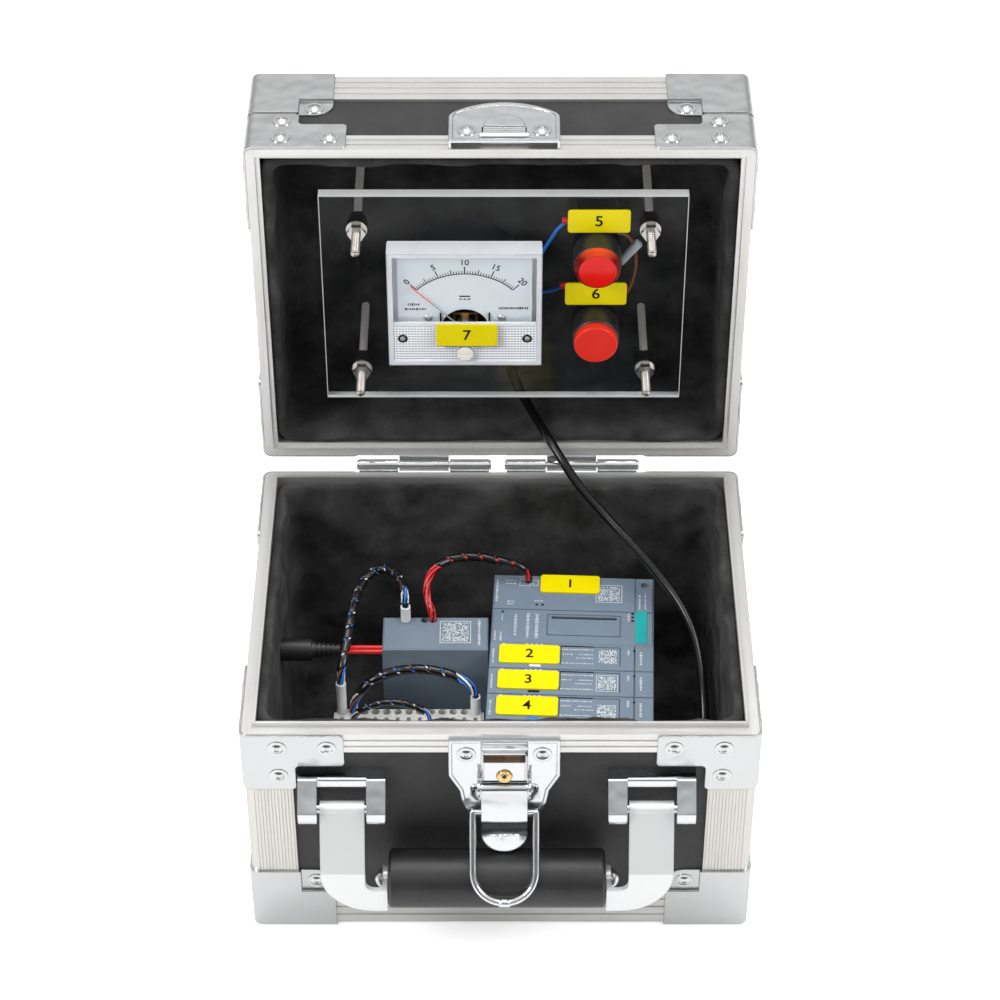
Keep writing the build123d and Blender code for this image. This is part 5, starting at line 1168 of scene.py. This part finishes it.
# %% Plates, screws and the ribbed window
ring_piece(
    "meter_back_plate", rectangle(-10.6, 10.6, -23.7, -2.5), rectangle(-31.2, 31.2, -28.0, 28.0),
    1.62, 2.0, at_meter, white_plastic, "lid",
)
ring_piece(
    "meter_side_walls", rectangle(-30.9, 30.9, -27.7, 27.7), rectangle(-32.85, 32.85, -29.55, 29.55),
    2.05, 9.6, at_meter, wall_clear, "lid",
)
cover_x, cover_y, cover_skin = 33.05, 29.75, 0.2
ring_piece(
    "meter_cover_sides", rectangle(-cover_x, cover_x, -cover_y, cover_y),
    rectangle(-cover_x - cover_skin, cover_x + cover_skin, -cover_y - cover_skin, cover_y + cover_skin),
    1.7, 9.8, at_meter, wall_clear, "lid",
)
window_x, window_low, window_high = 30.8, -27.6, -8.4
ribbed_window = rectangle(-window_x, window_x, window_low, window_high)
prints("meter_ribbed_window", [ribbed_window], at_meter, 8.2, 0.7, ribbed_clear, "lid")
window_edge = rectangle(-window_x, window_x, window_high, -7.5)
prints("meter_window_edge", [window_edge], at_meter, 7.4, 1.5, frosted_edge, "lid")
# painted shade: a dark disc in the opening over the coil
turned("meter_opening_shade", [(9.9, -2.78), (9.9, -2.6)], at_meter @ Matrix.Translation((0, pivot_y, 0)),
       painted_recess_shade, "lid")
prints("meter_stop_posts", [rectangle(-10.9, -10.2, -10.2, -4.4), rectangle(10.2, 10.9, -10.2, -4.4)],
       at_meter, 5.12, 0.5, print_black, "lid")

# %% Screws of the dial and of the cover
meter_screws = {
    "dial_screw": ((15.9, -6.9, 5.12), zinc_steel,
                   [(1.75, 0.0), (1.8, 0.2), (1.6, 0.55), (1.0, 0.8), (0.5, 0.85), (0.45, 0.6)]),
    "cover_screw": ((27.0, -15.7, 8.9), print_black, [(2.2, 0.0), (2.2, 0.04), (1.6, 0.08)]),
    "cover_screw_head": ((27.0, -15.7, 8.98), zinc_steel, [(1.3, 0.0), (1.3, 0.02), (0.9, 0.04)]),
}
for side in (-1, 1):
    for name, ((x, y, level), finish, profile) in meter_screws.items():
        spot = at_meter @ Matrix.Translation((side * x, y, level))
        turned(f"{name}_{side}", profile, spot, finish, "lid", 20)

# %% The dial's scale
scale_radius, scale_span, dial_level, line_half = 29.4, 44.7, 5.11, 0.22


def on_dial(radius, degrees_right):
    """A place on the dial, by its distance from the needle's pivot and its angle from straight up."""
    angle = radians(degrees_right)
    return (radius * sin(angle), pivot_y + radius * cos(angle))


marks = []
arc_steps = 60
for step in range(arc_steps):
    left = -scale_span + 2 * scale_span * step / arc_steps
    right = left + 2 * scale_span / arc_steps
    near, far = scale_radius - line_half, scale_radius + line_half
    marks.append([on_dial(near, left), on_dial(near, right), on_dial(far, right), on_dial(far, left)])
for tick in range(41):
    angle = -scale_span + 2 * scale_span * tick / 40
    long, width = (3.9, 0.5) if tick % 10 == 0 else (2.6, 0.42) if tick % 5 == 0 else (1.6, 0.34)
    marks.append(stroke(on_dial(scale_radius, angle), on_dial(scale_radius + long, angle), width))
marks.append(rectangle(-2.4, 2.4, 4.1, 4.75))
marks += [rectangle(x - 0.6, x + 0.6, 2.6, 3.2) for x in (-1.8, 0.0, 1.8)]
marks += small_print((-24.6, 0.0), (-19.0, 0.0), 1.6, 1) + small_print((-25.9, -2.5), (-16.6, -2.5), 1.3, 2)
marks += small_print((14.7, -2.0), (27.4, -2.0), 1.5, 3)
prints("dial_scale", marks, at_meter, dial_level, 0.03, print_black, "lid")
numbers = []
for count, text in enumerate(("0", "5", "10", "15", "20")):
    angle = -scale_span + 2 * scale_span * count / 4
    x, y = on_dial(35.3, angle)
    numbers.append((text, x, y, dial_level, 2.9, -angle))
lettering("dial_numbers", numbers, at_meter, print_black, "lid")

# %% [markdown]
# ## Lamp lens, tag numbers and prints
# The lens is turned in steps. Its rim carries painted shade below and painted light above, and its flat face
# is plain red. The yellow tags carry plain numbers. The modules carry the usual small print, as strokes that
# only look like print.

# %% Lamp lens
lens_profile = [(10.0, 0.0), (10.0, 1.5), (9.7, 1.9), (8.9, 2.1), (8.65, 2.8), (8.3, 3.4), (7.8, 3.58)]
lens_place = at_panel @ Matrix.Translation(lens_spot)
lens = turned("stepped_lens", lens_profile, lens_place, lens_rim, "lid", 48)
turned("lens_face", [(8.1, 3.55), (8.1, 3.64), (7.6, 3.7)], lens_place, lamp_red, "lid", 48)
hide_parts("lamp_lens")

# %% Numbers on the tags
rack_level, panel_level, tag_height, module_pitch = 84.82, 0.82, 5.4, 16
rack_numbers = [("1", -1.7, 43.2, rack_level, tag_height, 0)]
for row in range(3):
    rack_numbers.append((str(2 + row), -18.5, -2.7 - module_pitch * row, rack_level, tag_height, 0))
lettering("rack_tag_numbers", rack_numbers, at_rack, print_black, "base")
panel_numbers = [("5", 40.6, 41.8, panel_level, tag_height, 0), ("6", 40.0, 3.5, panel_level, tag_height, 0)]
lettering("panel_tag_numbers", panel_numbers, at_panel, print_black, "lid")
meter_number = [("7", 0.8, -12.4, 11.42, tag_height, 0)]
lettering("meter_tag_number", meter_number, at_meter, print_black, "lid")

# %% Pale frames, square codes and lines of small print
top = 84.01
pale = frame_lines(9.9, 21.8, 32.3, 43.8, 0.35) + block_marks(11.0, 20.7, 33.4, 42.7, 22, 4)
pale += block_marks(11.9, 19.9, -6.9, 1.6, 18, 5)
pale += frame_lines(10.9, 20.5, -24.2, -14.2, 0.3) + block_marks(11.7, 19.7, -23.3, -15.1, 18, 6)
pale += block_marks(11.6, 19.8, -40.6, -32.5, 18, 7)
pale += frame_lines(-24.5, -19.5, 41.8, 46.0, 0.3) + frame_lines(-18.6, -15.9, 42.2, 46.0, 0.3)
print_lines = [
    (-34.4, 31.4, -34.4, 45.6, 1.1), (-30.8, 45.2, -25.6, 45.2, 1.0), (-30.8, 43.2, -25.6, 43.2, 1.0),
    (-29.4, 31.4, -26.2, 31.4, 1.0), (-29.4, 29.8, -26.2, 29.8, 0.9), (-17.4, 32.2, -13.4, 32.2, 1.0),
    (-31.4, 19.0, -31.4, 22.6, 0.9), (-25.4, 9.6, -25.4, 23.6, 1.5), (-19.9, 8.2, -19.9, 23.8, 1.7),
    (-15.9, 8.2, -15.9, 23.6, 1.9), (29.6, 28.4, 29.6, 38.6, 1.1), (32.2, 28.4, 32.2, 40.0, 0.9),
    (24.8, 20.4, 24.8, 25.6, 1.0), (-34.2, 6.0, -34.2, 12.0, 1.0), (-31.6, 6.0, -31.6, 12.0, 1.0),
]
for seed, (x0, y0, x1, y1, height) in enumerate(print_lines):
    pale += small_print((x0, y0), (x1, y1), height, 20 + seed)

# %% Prints that repeat on the three narrow modules, one pitch apart
dark = [rectangle(x - 0.6, x + 0.6, 29.2, 30.3) for x in (-16.3, -13.7)]
module_lines = [(-4.4, 9.6, 1.4), (-4.0, 0.6, -1.6), (3.2, 9.8, -1.6), (2.0, 9.8, -3.8), (-4.4, 9.6, -7.2)]
for row in range(3):
    drop = module_pitch * row
    pale += [rectangle(x - 0.5, x + 0.5, 3.4 - drop, 4.4 - drop) for x in (-30.0, -19.7, -17.6, -15.5, -13.4)]
    pale += small_print((-34.4, -8.0 - drop), (-34.4, 0.6 - drop), 1.1, 50 + row)
    for line, (x0, x1, y) in enumerate(module_lines):
        pale += small_print((x0, y - drop), (x1, y - drop), 0.8, 60 + 10 * row + line)
    pale += small_print((24.9, -1.2 - drop), (24.9, 2.4 - drop), 1.2, 90 + row)
    pale += small_print((30.4, -7.0 - drop), (30.4, 1.6 - drop), 1.3, 93 + row)
    dark += [rectangle(-4.8, 9.8, 3.0 - drop, 3.7 - drop), rectangle(9.8, 21.4, 3.1 - drop, 3.4 - drop)]
    dark += [rectangle(-4.8, -4.5, -8.4 - drop, 3.0 - drop), rectangle(21.1, 21.4, -8.4 - drop, 3.1 - drop)]
    dark += [rectangle(27.0, 28.0, 1.2 - drop, 2.2 - drop), rectangle(27.3, 27.5, -10.9 - drop, 4.6 - drop)]
dark += [rectangle(26.0, 27.2, y - 0.55, y + 0.55) for y in (25.3, 23.1, 20.8)]
dark += [rectangle(-31.9, -30.8, 24.0, 25.1)]
ink = 0.03
prints("module_pale_print", pale, at_rack, top, ink, print_pale, "base")
for row, finish in enumerate((wire_white, print_black, wire_blue)):
    mark = rectangle(-18.4, -13.4, -9.9 - module_pitch * row, -8.7 - module_pitch * row)
    prints(f"module_colour_mark_{row + 1}", [mark], at_rack, top, 0.1, finish, "base")
prints("module_dark_marks", dark, at_rack, top, ink, print_black, "base")

# %% Painted shade in the finger slot, the badge and the power supply's print
# painted shade: a dark sheet in the finger slot
finger_slot = rectangle(-9.4, 19.4, 20.95, 22.45)
prints("module_finger_slot_shade", [finger_slot], at_rack, 83.1, 0.1, painted_recess_shade, "base")
badge = rectangle(27.8, 33.0, 6.6, 26.8)
prints("bare_badge", [badge], at_rack, top, 0.25, teal_plate, "base")
supply_marks = frame_lines(-26.8, -13.0, 4.5, 18.6, 0.4) + block_marks(-25.7, -14.1, 5.6, 17.5, 24, 8)
supply_marks += small_print((-9.4, 3.4), (-9.4, 19.0), 1.4, 41)
prints("supply_print", supply_marks, at_base, 85.01, ink, print_pale, "base")

# %% [markdown]
# ## Latch details
# The lock has a dished brass face with a disc of painted shade in its keyhole, the window above it shows an
# amber sheet, and the wire bail's ends meet in a short sleeve at its lowest point. Two thin strips of painted
# shadow are drawn on the front of the lower corner caps, where each cap steps down.

# %% Lock face, window, painted shadow strips on the caps and bail sleeve
lock_low, lock_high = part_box("lock_core")
lock_middle = (lock_low + lock_high) / 2
at_lock = Matrix.Translation((lock_middle.x, lock_low.y, lock_middle.z)) @ Matrix.Rotation(pi / 2, 4, "X")
at_lock = at_lock @ Matrix.Scale(mm, 4)
turned("lock_face", [(3.1, 0.02), (3.15, 0.2), (2.9, 0.55), (2.4, 0.6), (1.9, 0.3), (1.2, 0.12)], at_lock,
       lock_brass, "lock")
# painted shade: a dark disc in the keyhole
turned("lock_keyhole_shade", [(0.95, 0.1), (0.95, 0.16)], at_lock, painted_recess_shade, "lock", 20)
at_window = at_base @ Matrix.Translation((1.6, -86.8, 109.55)) @ Matrix.Rotation(pi / 2, 4, "X")
window_sheet = rectangle(-8.5, 8.5, -2.2, 2.2)
prints("latch_window_sheet", [window_sheet], at_window, 0.0, 0.15, amber_glass, "base")
at_front = at_base @ Matrix.Translation((0, -82.62, 0)) @ Matrix.Rotation(pi / 2, 4, "X")
# painted shadow: thin dark strips where each lower cap steps down to its tab
cap_shadow_strips = [rectangle(-85.0, -71.4, 20.7, 21.9), rectangle(71.4, 85.0, 20.7, 21.9)]
prints("cap_step_shadows", cap_shadow_strips, at_front, 0.0, 0.15, painted_recess_shade, "base")
at_sleeve = at_base @ Matrix.Translation((-0.9, -113.4, 48.0)) @ Matrix.Rotation(pi / 2, 4, "Y")
turned("bail_sleeve", [(1.5, 0.0), (1.9, 0.3), (1.9, 4.7), (1.5, 5.0)], at_sleeve, chrome, "bail",
       24)

# %% [markdown]
# ## Wire ends
# Where a thin wire meets a terminal it ends in a small crimped ferrule. A joint further along is
# covered by a shrunk sleeve. Both are short turned pieces, placed on the wire's route.

# %% Ferrules and a grey sleeve on the panel wires
ferrule = [(1.0, 0.0), (1.5, 0.3), (1.5, 2.7), (1.0, 3.0)]
for number, (x, y, z) in enumerate([(25.2, 30.4, -17.0), (24.6, -5.0, -18.0)]):
    spot = at_panel @ Matrix.Translation((x, y, z)) @ Matrix.Rotation(pi / 2, 4, "Y")
    turned(f"red_ferrule_{number + 1}", ferrule, spot, wire_red, "lid", 20)
tilt = Matrix.Rotation(pi / 2, 4, "Y") @ Matrix.Rotation(radians(-53), 4, "X")
spot = at_panel @ Matrix.Translation((50.8, 7.0, -18.6)) @ tilt
turned("grey_sleeve", [(1.5, 0.0), (2.0, 0.5), (1.9, 7.0), (2.1, 13.0), (1.7, 13.6)], spot, print_pale, "lid",
       20)

# %% [markdown]
# ## Floor and light
# The photograph was taken on white with soft light from all sides. A large white floor and a sky
# that is brightest overhead do most of the work. Two broad lamps add the highlights, and the
# darker band of sky near the horizon gives the chrome something to mirror.

# %% Floor
floor_finish, floor_tree, floor_shader = new_finish("studio_floor", (0.82, 0.82, 0.82), 0.0, 0.9)
floor_grain = use_group(floor_tree, grain, Scale=200.0, Mottle_Scale=3.0)
two_tone(floor_tree, floor_shader, floor_grain.outputs["Mottle"], (0.81, 0.81, 0.81), (0.83, 0.83, 0.83))
floor_rays = floor_tree.nodes.new("ShaderNodeLightPath")
seen = math_node(floor_tree, "MULTIPLY", floor_rays.outputs["Is Camera Ray"], 0.45)
floor_shader.inputs["Emission Color"].default_value = (1, 1, 1, 1)
floor_tree.links.new(seen, floor_shader.inputs["Emission Strength"])
floor_half = 6000
floor = piece(
    "studio_floor", [(-floor_half, -floor_half, 0), (floor_half, -floor_half, 0),
                     (floor_half, floor_half, 0), (-floor_half, floor_half, 0)],
    [(0, 1, 2, 3)], Matrix.Scale(mm, 4), floor_finish, None, smooth=False,
)

# %% Sky and lamps
world = bpy.data.worlds.new("studio")
bpy.context.scene.world = world
world.use_nodes = True
sky_tree = world.node_tree
sky = sky_tree.nodes["Background"]
where = sky_tree.nodes.new("ShaderNodeTexCoord")
sky_axes = sky_tree.nodes.new("ShaderNodeSeparateXYZ")
sky_ramp = sky_tree.nodes.new("ShaderNodeValToRGB")
for position, grey in ((0.0, 0.75), (0.12, 0.42), (0.35, 0.55), (0.7, 0.95)):
    spare = sky_ramp.color_ramp.elements
    stop = spare[0] if position == 0.0 else spare.new(position)
    stop.position = position
    stop.color = (grey, grey, grey, 1)
sky_ramp.color_ramp.elements[-1].color = (1, 1, 1, 1)
sky_tree.links.new(where.outputs["Generated"], sky_axes.inputs["Vector"])
sky_tree.links.new(sky_axes.outputs["Z"], sky_ramp.inputs["Fac"])
room = sky_tree.nodes.new("ShaderNodeMapRange")
for label, value in (("From Min", -0.95), ("From Max", -0.6), ("To Min", 0.25), ("To Max", 1.0)):
    room.inputs[label].default_value = value
sky_tree.links.new(sky_axes.outputs["Y"], room.inputs["Value"])
dimmed = sky_tree.nodes.new("ShaderNodeVectorMath")
dimmed.operation = "SCALE"
sky_tree.links.new(sky_ramp.outputs["Color"], dimmed.inputs[0])
sky_tree.links.new(room.outputs["Result"], dimmed.inputs["Scale"])
sky_tree.links.new(dimmed.outputs["Vector"], sky.inputs["Color"])
sky.inputs["Strength"].default_value = 1.0


def lamp(name, place, aim, width, height, watts):
    """A soft rectangular lamp."""
    data = bpy.data.lights.new(name, "AREA")
    data.shape = "RECTANGLE"
    data.size = width
    data.size_y = height
    data.energy = watts
    thing = bpy.data.objects.new(name, data)
    bpy.context.collection.objects.link(thing)
    thing.location = place
    thing.rotation_euler = (Vector(aim) - Vector(place)).to_track_quat("-Z", "Y").to_euler()


lamp("left_lamp", (-1.6, -1.0, 1.7), (0, 0, 0.1), 0.8, 0.8, 26)
lamp("right_lamp", (1.7, -0.7, 1.5), (0, 0, 0.1), 0.8, 0.8, 17)
lamp("top_lamp", (0, 0.3, 2.2), (0, 0.05, 0.1), 1.2, 1.2, 22)
bpy.context.scene.view_settings.view_transform = "Standard"
print("stage ready")
